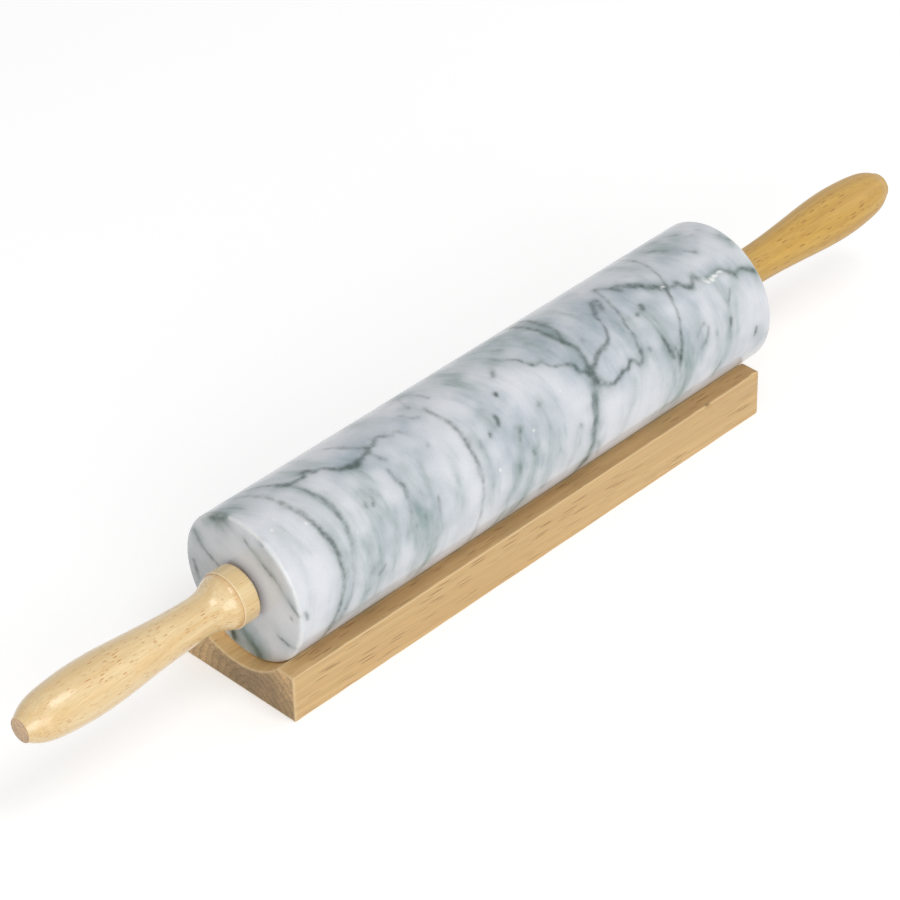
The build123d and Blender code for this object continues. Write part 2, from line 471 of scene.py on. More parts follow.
# Single dark spots, each drawn as a stroke about as long as it is wide
SPOTS = strokes(
    Mark.VEIN, 1.1,
    ((-9, 66.8, .95), (-8.6, 68, .95)), ((69.9, 63, .85), (70.3, 65, .9)),
) + strokes(
    Mark.VEIN, 0.9,
    ((-22, 44, .75), (-21.6, 45, .85)), ((-16.2, 47, .5), (-15.7, 51, .8), (-15.3, 55, .55)),
    ((-6.7, 15, .55), (-6.5, 17, .6)), ((-46.8, 62, .45), (-46.3, 63, .4)),
    ((-83.6, 50, .58), (-83.4, 52, .52)), ((-81, 47, .45), (-80.6, 49, .45)),
    ((-59.2, -1, .38), (-58.8, 1, .42)), ((-91.5, 6, .3), (-90.5, 8, .35)),
    ((18, 13, .45), (18.7, 14.5, .5)), ((65.8, 61, .58), (66.3, 62, .52)),
    ((70, 33, .65), (70.2, 37, .7)), ((70.5, 26, .6), (70.7, 30, .65)),
    ((71.3, 19, .5), (71.2, 22, .5)), ((96.3, 17, .4), (96.8, 18.5, .4)),
    ((117, -4, .5), (117.4, -1, .75), (117.9, 2.5, .6)), ((-27.5, 42, .32), (-27.3, 45, .32)),
    ((11, 98, .42), (11, 100, .42)), ((121, 95, .38), (121, 97, .38)),
    ((-15.2, 9, .4), (-14.8, 14, .46)), ((-116.5, 117, .4), (-115, 118, .4)),
    ((3.8, 44, .4), (4.6, 45, .4)), ((62, 35, .38), (61.8, 36.5, .38)),
    ((37.8, 66, .35), (38, 68, .35)),
) + strokes(
    Mark.VEIN, 1.25,
    ((102.4, 116, .3), (105.8, 114.2, .42)), ((111, 111, .32), (113.6, 107, .42)),
    ((100.4, 97.5, .4), (101.4, 94.5, .42)), ((97, 106, .28), (99.4, 103, .34)),
    ((114.4, 98, .24), (116.6, 95.5, .26)), ((124, 79, .34), (124.8, 73.5, .4)),
    ((57.2, 116, .2), (57.6, 108, .24)),
)

# Soft grey-green streaks, which lean to the left towards the bottom
STREAKS = strokes(
    Mark.WASH, 1.9,
    ((-84, 60, .25), (-84, 45, .3), (-84.5, 30, .25)),
    ((-79, 74, .3), (-79.5, 55, .35), (-80, 38, .3)),
    ((-75.3, 76, .42), (-75.8, 64, .22), (-76.5, 48, .3), (-77, 32, .3)),
    ((-86, 20, .3), (-87, 4, .4), (-90, -16, .35)), ((-76, 25, .3), (-80, 2, .34), (-83, -16, .1)),
    ((-69, 22, .4), (-69, 2, .4), (-72, -22, .4)),
    ((-57, 34, .3), (-58, 16, .4), (-60, 0, .55), (-62, -10, .6), (-66.5, -26, .5)),
    ((-61.5, 60, .3), (-61, 42, .15)), ((-53, 62, .3), (-56, 42, .35)),
    ((-41, 45, .25), (-44, 25, .35), (-46, 8, .2)),
    ((-28, 50, .3), (-28.2, 22, .3), (-31, 0, .25)), ((-19.5, 62, .4), (-18, 48, .4)),
    ((-10, 38, .45), (-12.5, 24, .3), (-16, 8, .3)),
    ((-15, 14, .45), (-17.5, 4, .5), (-20, -4, .5), (-22.5, -16, .42), (-25, -30, .6)),
    ((-6.5, 20, .4), (-9, 0, .4), (-12, -14, .5), (-16.5, -28, .55)), ((-3, 32, .2), (-6, 12, .2)),
    ((5, 50, .2), (3, 25, .25), (0, 0, .3), (-3, -18, .4)),
    ((10, 35, .12), (8, 10, .2), (5, -12, .15)), ((18.3, 13, .4), (15.5, 0, .28), (12, -12, .15)),
    ((50, 20, .25), (47, 8, .3), (44, -2, .3), (40.5, -14, .25)), ((55, 66, .35), (56.5, 50, .35)),
    ((62, 62, .25), (62.5, 42, .1), (62, 27, .25)),
    ((69, 62, .4), (70, 40, .5), (70.3, 20, .3), (69, 0, .15), (66, -16, .25)),
    ((73, 62, .3), (73, 40, .25)), ((79, 10, .55), (78, -4, .75), (74.5, -16, .65)),
    ((97, 30, .1), (96.5, 12, .2), (95, -5, .15)),
    ((106.6, 44, .25), (106, 32, .3), (103, 14, .42), (101, 0, .42), (95, -18, .42)),
    ((112, 40, .3), (109, 26, .3), (107, 10, .25)), ((90, 40, .15), (87, 24, .25), (85, 8, .12)),
    ((31, 34, .3), (28, 20, .55), (25.8, 6, .5), (24.6, -8, .55), (22.4, -19, .6), (20, -30, .5)),
    ((5, 94, .25), (8.5, 86, .22), (11.5, 78, .22), (14.5, 71, .35), (18, 70, .35)),
    ((-126.2, 116, .9), (-124.6, 109, .75), (-122.8, 103, .5)),
    ((-120, 70, .12), (-119.5, 45, .2), (-120, 28, .12)), ((-121.8, 108, .6), (-120.5, 98, .55)),
    ((-94.5, 118, .4), (-94, 101, .4)), ((-86.5, 122, .45), (-85.5, 104, .4), (-83, 92, .3)),
    ((-56.2, 126, .5), (-56, 114, .45)), ((22, 112, .4), (22, 96, .5), (21, 78, .35)),
    ((10, 118, .4), (8.5, 104, .35), (9.5, 90, .2)),
    ((17, 122, .7), (17, 114, .75), (16.5, 106, .45)),
    ((81.8, 122, .4), (82, 108, .4), (82.8, 88, .35)),
    ((41, 110, .3), (44, 96, .35), (46, 84, .3)),
    ((97.5, 105, .45), (101, 97, .4), (100.5, 90, .25)), ((123.5, 80, .5), (124, 70, .45)),
    ((105, 118, .5), (105.5, 110, .4)), ((112, 108, .4), (109, 98, .3), (110, 86, .15)),
    ((116, 48, .5), (121, 48, .6), (125, 42, .6)),
    ((-118, 66, .2), (-115.5, 55, .2), (-113.5, 44, .12)),
    ((100, 60, .4), (104, 56, .55), (108, 56, .55), (111, 55, .4)),
) + strokes(
    Mark.WASH, 2.5,
    ((-108, 78, .25), (-105.5, 60, .22), (-103.6, 45, .35), (-103.4, 32, .4), (-104.5, 15, .3),
     (-107, 0, .35), (-111, -20, .45)),
    ((-98, 84, .35), (-95.5, 66, .4), (-94.8, 50, .35), (-96, 34, .25)),
) + strokes(
    Mark.WASH, 3.2,
    ((-31.5, 130, .5), (-31.5, 120, .55)),
    ((-14, 120, .45), (-13.5, 106, .6), (-14.5, 94, .6), (-14, 84, .45)),
    ((-63.8, 26, .6), (-63.4, 16, .6), (-64, 4, .35)),
    ((-90, 30, .35), (-91, 16, .4), (-95, -4, .35), (-98, -18, .3)),
    ((-10, -8, .25), (-14, -20, .3)), ((70, 10, .2), (67, -8, .2), (64, -20, .25)),
    ((78, 24, .4), (76, 4, .35), (73, -16, .45)), ((86, 38, .15), (84, 24, .12)),
    ((6, 24, .12), (3, 6, .2)), ((56, 46, .3), (57, 34, .3)), ((97, 112, .3), (103, 102, .35)),
    ((76, 82, .25), (82, 73, .3)),
    ((31.5, 112, .45), (31.5, 90, .45), (32.4, 68, .45), (31.5, 50, .25)),
    ((1, 102, .35), (3, 92, .3)), ((-107, 120, .4), (-104, 110, .3)),
)

# Blue-grey clouds, broad and soft, which follow the bands' lean
CLOUDS = strokes(
    Mark.HAZE, 4.6,
    ((-119, 118, .42), (-118, 106, .16), (-119, 50, .14)),
    ((-112, 122, .5), (-107, 112, .5), (-105, 100, .35), (-103, 85, .12), (-100, 65, .16),
     (-99, 45, .22), (-101, 20, .3), (-105, -5, .4), (-108, -22, .35)),
    ((-98, 101, .3), (-89, 97, .45), (-83, 90, .4), (-74, 88, .65), (-65, 89, .5), (-56, 91, .25)),
    ((-80, 55, .18), (-80, 40, .3), (-84, 20, .5), (-88, 4, .55), (-92, -14, .45)),
    ((-77, 30, .25), (-74, 20, .3)),
    ((-67, 78, .3), (-65, 55, .3), (-65, 40, .12), (-64, 22, .65), (-65, 8, .6), (-68, -10, .3)),
    ((-57, 78, .4), (-56, 60, .28), (-56, 40, .38), (-57, 22, .55), (-60, 4, .25), (-62, -14, .15)),
    ((-50, 105, .2), (-48, 90, .45), (-48, 72, .5), (-49, 62, .4), (-50, 50, .15)),
    ((-56, 124, .5), (-57, 112, .35), (-62, 98, .3)),
    ((-31, 124, .85), (-31.5, 114, .75), (-33, 106, .38), (-38, 96, .4), (-38, 87, .2)),
    ((-14, 120, .45), (-14, 105, .4), (-15, 92, .32), (-16, 78, .34), (-16, 62, .35),
     (-17, 48, .36), (-18, 35, .3)),
    ((-13, 26, .4), (-15, 14, .32), (-18, 0, .3), (-22, -16, .22)),
    ((-7, 46, .4), (-9, 34, .5), (-8, 16, .28), (-10, -4, .35), (-13, -20, .35)),
    ((3, 40, .2), (2, 22, .3), (0, 2, .3), (-2, -18, .4)),
    ((9, 40, .28), (9, 22, .22), (7.5, 0, .1)), ((1, 120, .6), (3, 104, .5), (7, 92, .15)),
    ((10, 120, .8), (12, 108, .6), (13, 100, .25), (16, 84, .25), (20, 70, .35)),
    ((19, 120, .6), (22, 102, .6), (24, 84, .62), (26, 68, .7), (29, 55, .65)),
    ((37, 104, .3), (37, 82, .35), (38.5, 68, .22), (38, 54, .3)),
    ((38, 46, .2), (40, 36, .45), (46, 28, .35)),
    ((48, 94, .55), (48.5, 82, .85), (46.5, 64, .5), (45, 50, .15)),
    ((55, 116, .45), (56, 100, .2), (55, 82, .45), (55, 68, .52), (56, 54, .48), (57, 40, .45)),
    ((65, 106, .3), (66, 94, .5), (67, 80, .55), (66, 64, .3), (68.5, 50, .2), (69, 34, .45),
     (69.5, 18, .35), (69.5, 6, .22), (68, -16, .2)),
    ((74, 60, .35), (77.5, 42, .5), (80, 26, .7), (79, 8, .5), (77, -8, .4), (74, -20, .4)),
    ((85.5, 66, .35), (87.6, 57, .6), (87.4, 50, .5), (86, 40, .3), (87, 30, .3), (87, 18, .1)),
    ((97, 80, .2), (97, 70, .12)), ((98, 22, .1), (98, 10, .15), (95, -6, .1)),
    ((104, 122, .62), (104, 108, .5), (102, 97, .52), (104, 84, .2)),
    ((106.5, 60, .4), (107, 44, .2), (104, 22, .08), (102, 4, .35), (99, -14, .3)),
    ((113, 116, .4), (112, 98, .35), (112, 82, .15), (115, 62, .15), (120, 50, .35), (125, 43, .5)),
    ((96, 124, .4), (97, 108, .3)),
    ((80, 124, .4), (82, 110, .28), (87.5, 104, .35), (88.5, 88, .3)),
    ((112, 40, .15), (111, 22, .15), (113, 4, .1)), ((118, -4, .3), (120, -14, .35)),
    ((-28, 62, .25), (-27, 40, .35), (-29, 14, .25)), ((-44, 18, .25), (-46, -6, .3)),
    ((15, 14, .2), (14, 0, .08)),
) + strokes(
    Mark.HAZE, 3.0,
    ((31.2, 122, .6), (31.2, 105, .75), (31.4, 90, .8), (31.8, 75, .8), (32.4, 62, .85),
     (31.8, 50, .75)),
    ((31, 38, .25), (28.5, 20, .3), (26, 4, .35), (24.5, -12, .35), (21, -28, .4)),
    ((70, 91, .25), (75, 84, .35), (80, 77, .35), (84, 71, .25), (89, 66, .3)),
    ((-80, 84, .4), (-75, 80, .6), (-70, 81, .5)), ((-9.5, 72, .22), (-8, 60, .3)),
    ((-23.5, 49, .18), (-24.5, 42, .32)),
)

# White crystals in the right-hand seam, and single painted glints: white spots where a crystal catches the
# light
CRYSTALS_AND_GLINTS = strokes(
    Mark.PALE, 0.55,
    ((101.4, 57, .45), (103, 53.8, .8)), ((104.4, 55.4, .5), (105.2, 52.6, .85)),
    ((106.3, 55, .8), (107.7, 53.2, .7)), ((109, 55.8, .5), (110.8, 54.2, .72)),
    ((102.2, 59, .5), (103, 58.2, .5)), ((83.4, 68.2, .6), (84.4, 69.2, .75), (85.6, 67.6, .6)),
    ((81, 71.2, .45), (82.2, 70.2, .5)),
) + strokes(
    Mark.PALE, 1.5,
    ((100, 57.6, .34), (103, 55.4, .37), (106, 54.6, .38), (109.5, 55.2, .37), (112, 54, .34)),
# Painted glints: single white spots where a crystal catches the light
) + strokes(
    Mark.PALE, 0.55,
    *(((x, turn - 0.6, 0.9), (x + 0.1, turn + 0.6, 0.9)) for x, turn in (
        (-116.5, 75.5), (-120.7, 70.3), (-108.3, 61), (-92.3, 38), (-24, 19.5), (-3.5, 31.5), (15.5, 45),
    )),
)

# The left-hand end face: across and up from the axis
LEFT_FACE = [
    Stroke(width, path, mark, End.LEFT)
    for mark, width, path in (
        (Mark.WASH, 2.8, ((17.5, 22, .5), (14, 24.5, 1), (10, 26.8, 1), (7.5, 28.6, .9))),
        (Mark.VEIN, 2.0, ((15.5, 24, .45), (12.5, 26, .75), (9.5, 27.8, .75), (7.5, 29.2, .6))),
        (Mark.WASH, 2.6, ((27, 14, .5), (23, 11, .45), (19, 8, .35))),
        (Mark.VEIN, 1.0, ((24.5, 13, .35), (21, 8.8, .5), (18, 6.4, .55), (14.2, 4.8, .5), (11, 3.5, .4))),
        (Mark.VEIN, 1.2, ((26, -1, .5), (25, -3.5, .6), (24, -8, .5))),
        (Mark.VEIN, 0.95, ((-3.1, 23.5, .6), (-4.7, 22.3, .5), (-8, 20, .25), (-11.2, 18.2, .45),
                           (-13.5, 16.5, .6), (-15.4, 15, .55), (-18.5, 12.5, .35), (-21.6, 10, .35),
                           (-24.5, 7.5, .4), (-27.2, 5.2, .65), (-29.2, 3.8, .7))),
        (Mark.WASH, 2.2, ((-3, 24, .4), (-8, 20.5, .4), (-14, 16.5, .45), (-20, 11.8, .3), (-26, 6.5, .4))),
        (Mark.HAZE, 4.5, ((-6, 22.5, .1), (-12.5, 18.5, .16), (-18, 13.5, .1))),
        (Mark.VEIN, 0.9, ((-10, 29, .55), (-11.8, 26.8, .55))),
        (Mark.VEIN, 0.9, ((-26, 15.3, .7), (-26.5, 14.4, .7))),
        (Mark.VEIN, 0.9, ((-24.9, .7, .5), (-25.2, .1, .5))),
        (Mark.VEIN, 1.05, ((-17.3, -11.6, .45), (-20, -12.3, .6), (-22.5, -12.9, .6), (-25.5, -13, .45),
                           (-27.7, -12.9, .4))),
        (Mark.HAZE, 4.0, ((-16, -9, .3), (-21, -12, .4), (-26, -13, .3))),
        (Mark.VEIN, 1.4, ((7.2, -25.1, .95), (6.4, -26.1, .95))),
        (Mark.WASH, 2.6, ((7, -20, .5), (6, -25, .75), (4, -28.5, .6))),
        (Mark.VEIN, 0.9, ((7.8, -21.8, .55), (7.4, -22.4, .55))),
        (Mark.WASH, 3.4, ((4, -15, .6), (1.5, -19, 1), (-2, -22.5, 1), (-5, -25, 1), (-7, -27.5, 1))),
        (Mark.HAZE, 5.5, ((4, -14, .5), (-1, -20, .8), (-7, -27, .9))),
        (Mark.VEIN, 2.0, ((2.6, -17.5, .35), (-.3, -20.8, .5), (-2.7, -22.9, .5), (-5.2, -25, .55),
                          (-6.6, -27.5, .6))),
        (Mark.HAZE, 5.0, ((20, 12, .2), (22, 3, .2))),
    )
]

# The right-hand end face, where the dark seam comes over the rim
RIGHT_FACE = [
    Stroke(width, path, mark, End.RIGHT)
    for mark, width, path in (
        (Mark.VEIN, 1.2, ((-22, 18, .6), (-18, 15, .55), (-13, 14.5, .45), (-11, 9, .4))),
        (Mark.VEIN, 1.5, ((12, 26, .4), (15, 16, .5), (13, 6, .45), (18, -6, .4))),
        (Mark.WASH, 2.8, ((-24, 2, .4), (-20, -8, .5), (-10, -18, .5))),
        (Mark.HAZE, 6.0, ((6, 20, .5), (20, 10, .4), (22, -10, .4))),
        (Mark.VEIN, 0.9, ((2, -16, .4), (4, -20, .5), (3, -25, .4))),
    )
]


def hidden_strokes(seed: int = 21) -> list[Stroke]:
    """Veins, streaks and clouds for the back and the underside, of the same kinds as in front.

    A stroke's x follows the bands' lean: a cosine of its turn, largest at the lean's own
    angle, plus a random walk.

    Args:
        seed: Picks the random places.

    Returns:
        The strokes, between the back edge of what the picture shows and the underside.
    """
    rng = np.random.default_rng(seed)
    lean_angle, lean = 50.0, 9.0
    back, under = 132.0, 322.0
    reach, points = 118, 7
    drawn = []
    for width, count, strength, mark in (
        (0.85, 16, 0.45, Mark.VEIN),
        (1.9, 40, 0.5, Mark.WASH),
        (3.2, 16, 0.55, Mark.WASH),
        (4.8, 44, 0.6, Mark.HAZE),
    ):
        for middle in np.linspace(-reach, reach, count) + rng.uniform(-8, 8, count):
            start = rng.uniform(back, under - 50)
            turns = np.linspace(start, min(start + rng.uniform(30, 110), under), points)
            drift = np.cumsum(rng.normal(0, 0.9, points))
            x = middle + lean * (np.cos(np.radians(turns - lean_angle)) + 0.8) + drift
            force = strength * rng.uniform(0.5, 1.2) * np.sin(np.linspace(0.5, 2.8, points))
            drawn.append(Stroke(width, tuple(zip(x, turns, force)), mark))
    for first, last, turn in ((-112, -40, 205), (-20, 52, 168), (46, 118, 250), (-70, 4, 292)):
        steps = np.arange(first, last, 2.6)
        walk = turn + np.cumsum(rng.normal(0, 3.4, len(steps)))
        force = 0.62 * np.sin(np.linspace(0.25, 2.9, len(steps))) * rng.uniform(0.75, 1.2, len(steps))
        drawn.append(Stroke(1.1, tuple(zip(steps, walk, force))))
    return drawn


@dataclass(frozen=True)
class PolishedMarble:
    """White marble with green-grey veins, ground and polished: a wet, glassy gloss over cool stone.

    The strokes give the veins their places. The nodes fray them, break the soft ones into
    flecks along the sheets that marble splits in, and add a fine sugary grain.
    """

    white: str = "#E1E3E8"
    blue_grey: str = "#98A8B3"
    green_grey: str = "#849894"
    dark_green: str = "#40534D"
    # Also the white of the painted glints and of the painted rim highlight
    crystal: str = "#ECEDEA"
    # Cells of the patterns in millimetres, and the turn of the sheets in radians
    sheet: Triple = (3.4, 24.0, 18.0)
    fleck: Triple = (2.0, 7.0, 5.5)
    sheet_turn: Triple = (0.0, 0.28, 0.41)
    cloud: float = 13.0
    fray: float = 2.6
    # Marble's crystals are about 0.3 mm across, and are drawn twice as large, to show
    grain: float = 0.6
    noise_roughness: float = 0.55
    # How the patterns break up the clouds, the streaks and the veins
    haze_clouds: Span = (*MIDST, 0.72, 1.18)
    haze_flecks: Span = (*MIDST, 0.94, 1.06)
    veil_sheets: Span = (0.45, 0.8, 0.0, 0.2)
    veil_clouds: Span = (0.35, 0.6, 0.2, 1.0)
    wash_sheets: Span = (*MIDST, 0.8, 1.16)
    wash_flecks: Span = (*MIDST, 0.8, 1.2)
    vein_fray: Span = (*MIDST, 0.78, 1.22)
    # A vein's darkness: a share of its strength, an eased part, and flecks in the streaks
    vein_plain: float = 0.5
    vein_eased: Span = (0.12, 0.75, 0.0, 0.42)
    dark_flecks: Span = (0.62, 0.74, 0.0, 0.45)
    # The white of the crystals and of the painted glints, and the painted highlight along the rims, where
    # the streaks hide it
    crystal_edge: Span = (0.3, 0.8, 0.0, 1.0)
    rim_fray: Span = (*MIDST, 0.5, 0.8)
    rim_hidden: Span = (0.35, 0.9, 1.0, 0.25)
    # The most that a mark hides of the stone under it
    fullest: float = 0.95
    speckle: Span = (*MIDST, 0.975, 1.025)
    roughness: Span = (*MIDST, 0.14, 0.2)
    grain_depth: float = 0.05
    grain_relief: float = 0.03
    glow: float = 0.1
    glow_depth: float = 1.2
    glow_reach: Triple = (1.0, 0.95, 0.9)

    def material(self) -> bpy.types.Material:
        """Builds the finish from nodes.

        Returns:
            The material.
        """
        material, tree, place = start_material("polished marble")
        straight = (0.0, 0.0, 0.0)
        patterns = []
        for cell, detail, turn in (
            (self.sheet, 2.0, self.sheet_turn),
            (self.fleck, 1.5, self.sheet_turn),
            ((self.cloud,) * 3, 3.0, straight),
            ((self.fray,) * 3, 2.0, straight),
            ((self.grain,) * 3, 1.0, straight),
        ):
            axes = {"Vector": place, "Rotation": turn, "Scale": cell}
            mapped = add_node(tree, "Mapping", axes, vector_type="TEXTURE")[0]
            noise = {"Vector": mapped, "Scale": 1.0, "Detail": detail, "Roughness": self.noise_roughness}
            patterns.append(add_node(tree, "TexNoise", noise)[0])
        sheets, flecks, clouds, fray, grain = patterns
        vein, wash, haze, pale, rim = (
            add_node(tree, "Attribute", attribute_name=name)["Fac"]
            for name in (*(mark.value for mark in Mark), "rim")
        )

        haze = combine(
            tree,
            (haze, (clouds, *self.haze_clouds), (flecks, *self.haze_flecks)),
            ((sheets, *self.veil_sheets), (clouds, *self.veil_clouds)),
        )
        dark_flecks = (wash, (flecks, *self.dark_flecks))
        wash = combine(tree, (wash, (sheets, *self.wash_sheets), (flecks, *self.wash_flecks)))
        core = combine(tree, (vein, (fray, *self.vein_fray)))
        vein = combine(tree, (core, self.vein_plain), ((core, *self.vein_eased),), dark_flecks)
        crystal = combine(tree, ((pale, *self.crystal_edge),))
        # The rim value paints a highlight along both rounded rims, in the crystals' white
        rim = combine(tree, (rim, (fray, *self.rim_fray), (wash, *self.rim_hidden)))
        crystal = add_node(tree, "Math", (crystal, rim), operation="MAXIMUM")[0]

        colour = linear(self.white)
        for amount, tone in (
            (haze, self.blue_grey),
            (wash, self.green_grey),
            (vein, self.dark_green),
            (crystal, self.crystal),
        ):
            amount = add_node(tree, "Math", (amount, self.fullest), operation="MINIMUM")[0]
            layer = {0: amount, MIX_A: colour, MIX_B: linear(tone)}
            colour = add_node(tree, "Mix", layer, data_type="RGBA")[MIX_RESULT]
        layer = {0: 1.0, MIX_A: colour, MIX_B: combine(tree, ((grain, *self.speckle),))}
        colour = add_node(tree, "Mix", layer, data_type="RGBA", blend_type="MULTIPLY")[MIX_RESULT]
        relief = {"Height": grain, "Strength": self.grain_relief, "Distance": self.grain_depth * MM}
        shader = add_node(
            tree, "BsdfPrincipled",
            {
                "Base Color": colour,
                "Roughness": combine(tree, ((grain, *self.roughness),)),
                "IOR": 1.5,
                "Subsurface Weight": self.glow,
                "Subsurface Radius": self.glow_reach,
                "Subsurface Scale": self.glow_depth * MM,
                "Normal": add_node(tree, "Bump", relief)[0],
            },
        )
        add_node(tree, "OutputMaterial", (shader[0],))
        return material


@dataclass(frozen=True)
class Wood:
    """Rubberwood, sawn or turned, sanded and finished: pale gold with brown pores along the grain.

    The growth rings are rounds about the tree's heart, which lies along X at a place beside
    the piece. The pores are long thin bubbles in the wood, so that each surface cuts them to
    dashes, and the end grain to dots.
    """

    name: str
    pale: str
    deep: str
    ring: str
    pore: str
    end: str
    end_ring: str
    heart: tuple[float, float]
    lean: float = 0.0
    # Patterns: a cell's length along the grain and across it in millimetres, and its detail
    swing: Triple = (140.0, 26.0, 2.0)
    warp: Triple = (90.0, 9.0, 2.0)
    stripe: Triple = (170.0, 3.0, 3.0)
    fibre: Triple = (34.0, 0.42, 2.0)
    blotch: Triple = (55.0, 14.0, 2.0)
    clump: Triple = (40.0, 7.0, 1.0)
    patch: Triple = (60.0, 9.0, 2.0)
    end_patch: Triple = (20.0, 5.0, 2.0)
    end_grit: Triple = (20.0, 0.5, 2.0)
    # The rings: their spacing, their swing in millimetres, and their warp in rings
    ring_spacing: float = 3.3
    swing_reach: float = 6.0
    warp_reach: float = 0.7
    ring_depth: float = 0.35
    # Late wood darkens slowly through a ring's growth and ends sharply with it
    late_rise: Span = (0.35, 0.9, 0.0, 1.0)
    late_fall: Span = (0.93, 1.0, 1.0, 0.0)
    # The pores' cells and the share of a cell that is open. Real ones are about 0.2 mm wide,
    # and are drawn up to twice as wide, to show.
    pore_size: Triple = (5.0, 0.75, 0.75)
    pore_share: float = 0.3
    pore_core: float = 0.65
    pore_tones: Span = (0.1, 0.8, 0.25, 1.0)
    pore_clumps: Span = (0.36, 0.56, 0.3, 1.0)
    pore_dark: float = 0.8
    pore_depth: float = 0.05
    # How much of the deep tone the stripes and the blotches bring, and the fibres' shade
    stripe_tones: Span = (*MIDST, 0.0, 1.0)
    blotch_tones: Span = (0.4, 0.75, 0.0, 0.35)
    fibre_shades: Span = (*MIDST, 0.93, 1.05)
    fibre_relief: float = 0.25
    roughness: float = 0.4
    roughness_change: tuple[float, float] = (-0.05, 0.08)
    relief: float = 0.5
    coat: float = 0.0
    coat_roughness: float = 0.08
    # End grain: which faces show it, its rings and pores, and its shades. Between the two
    # distances from the heart, in millimetres, it grows lighter.
    end_facing: Span = (0.8, 0.97, 0.0, 1.0)
    end_ring_depth: float = 0.33
    end_pore_dark: float = 0.65
    heart_fade: Span = (14.0, 38.0, 0.66, 1.44)
    end_patch_shades: Span = (*MIDST, 0.86, 1.12)
    end_grit_shades: Span = (*MIDST, 0.7, 1.24)
    # Painted shade of the barrel darkens a ledge above this height, from its left end on, in millimetres
    ledge_height: float = 1000.0
    ledge_tint: str = "#FFFFFF"
    ledge_fade: float = 0.6
    ledge_start: Span = (-131.0, -108.0, 0.3, 1.0)
    ledge_facing: Span = (0.6, 0.95, 0.0, 1.0)
    ledge_patches: Span = (*MIDST, 0.7, 1.25)
    # Painted light, bounced off the stone, makes the trough paler by this share
    trough_lift: float = 0.0
    trough_fade: tuple[float, float] = (2.0, 1.0)
    trough_facing: Span = (0.1, 0.4, 0.0, 1.0)
    # A painted highlight along the edges, painted shade in the hollow beside a handle's step, and darker
    # dents
    edge_tone: str = "#FFFFFF"
    groove_tone: str = "#C8924E"
    dent_tone: str = "#6E4A22"
    edge_share: float = 0.0
    groove_share: float = 0.45

    def material(self) -> bpy.types.Material:
        """Builds the finish from nodes.

        Returns:
            The material.
        """
        material, tree, place = start_material(self.name, (0.0, *self.heart), (0.0, self.lean, 0.0))
        patterns = []
        for along, across, detail in (
            self.swing, self.warp, self.stripe, self.fibre, self.blotch, self.clump, self.patch,
            self.end_patch, self.end_grit,
        ):
            axes = {"Vector": place, "Scale": (along, across, across)}
            mapped = add_node(tree, "Mapping", axes, vector_type="TEXTURE")[0]
            noise = {"Vector": mapped, "Scale": 1.0, "Detail": detail, "Roughness": 0.5}
            patterns.append(add_node(tree, "TexNoise", noise))
        swing, warp, stripes, fibres, blotches, clumps, patches, end_patches, end_grit = patterns

        # The distance from the heart, bent by the swing, gives the rings and their late wood
        away = add_node(tree, "SeparateXYZ", (place,))
        sway = add_node(tree, "SeparateColor", (swing["Color"],))
        across = combine(tree, (away["Y"],), (sway[0], self.swing_reach))
        upward = combine(tree, (away["Z"],), (sway[1], self.swing_reach))
        squares = combine(tree, (across, across), (upward, upward))
        radius = add_node(tree, "Math", (squares, 0.5), operation="POWER")[0]
        rings = combine(tree, (radius, 1 / self.ring_spacing), (warp[0], self.warp_reach))
        phase = add_node(tree, "Math", (rings,), operation="FRACT")[0]
        late = combine(tree, ((phase, *self.late_rise), (phase, *self.late_fall)))

        axes = {"Vector": place, "Scale": self.pore_size}
        mapped = add_node(tree, "Mapping", axes, vector_type="TEXTURE")[0]
        cells = add_node(tree, "TexVoronoi", {"Vector": mapped, "Scale": 1.0}, feature="F1")
        cell_tone = add_node(tree, "SeparateColor", (cells["Color"],))
        pores = combine(tree, (
            (cells["Distance"], self.pore_share * self.pore_core, self.pore_share, 1.0, 0.0),
            (cell_tone[0], *self.pore_tones),
            (clumps[0], *self.pore_clumps),
        ))

        coordinates = add_node(tree, "TexCoord")
        normal = add_node(tree, "SeparateXYZ", (coordinates["Normal"],))
        where = add_node(tree, "SeparateXYZ", (coordinates["Object"],))
        slant = add_node(tree, "Math", (normal["X"],), operation="ABSOLUTE")[0]
        top = self.ledge_height
        start, stop, *ledge_shares = self.ledge_start
        lower, upper = self.trough_fade
        end_grain = combine(tree, ((slant, *self.end_facing),))
        # Painted shade: where the barrel's shadow darkens the up-facing ledges
        ledge = combine(tree, (
            (normal["Z"], *self.ledge_facing),
            (where["Z"], (top - self.ledge_fade) * MM, top * MM, 0.0, 1.0),
            (where["X"], start * MM, stop * MM, *ledge_shares),
            (patches[0], *self.ledge_patches),
        ))
        # Painted light in the trough, the glow bounced off the stone
        trough_light = (
            (normal["Z"], *self.trough_facing),
            (where["Z"], (top - lower) * MM, (top - upper) * MM, self.trough_lift, 0.0),
        )

        ends = linear(self.end)
        for amount, tone, blend in (
            (combine(tree, (late, self.end_ring_depth)), linear(self.end_ring), "MIX"),
            (1.0, combine(tree, ((radius, *self.heart_fade),)), "MULTIPLY"),
            (1.0, combine(tree, ((end_patches[0], *self.end_patch_shades),)), "MULTIPLY"),
            (1.0, combine(tree, ((end_grit[0], *self.end_grit_shades),)), "MULTIPLY"),
            (combine(tree, (pores, self.end_pore_dark)), linear(self.end_ring), "MIX"),
        ):
            layer = {0: amount, MIX_A: ends, MIX_B: tone}
            ends = add_node(tree, "Mix", layer, data_type="RGBA", blend_type=blend)[MIX_RESULT]
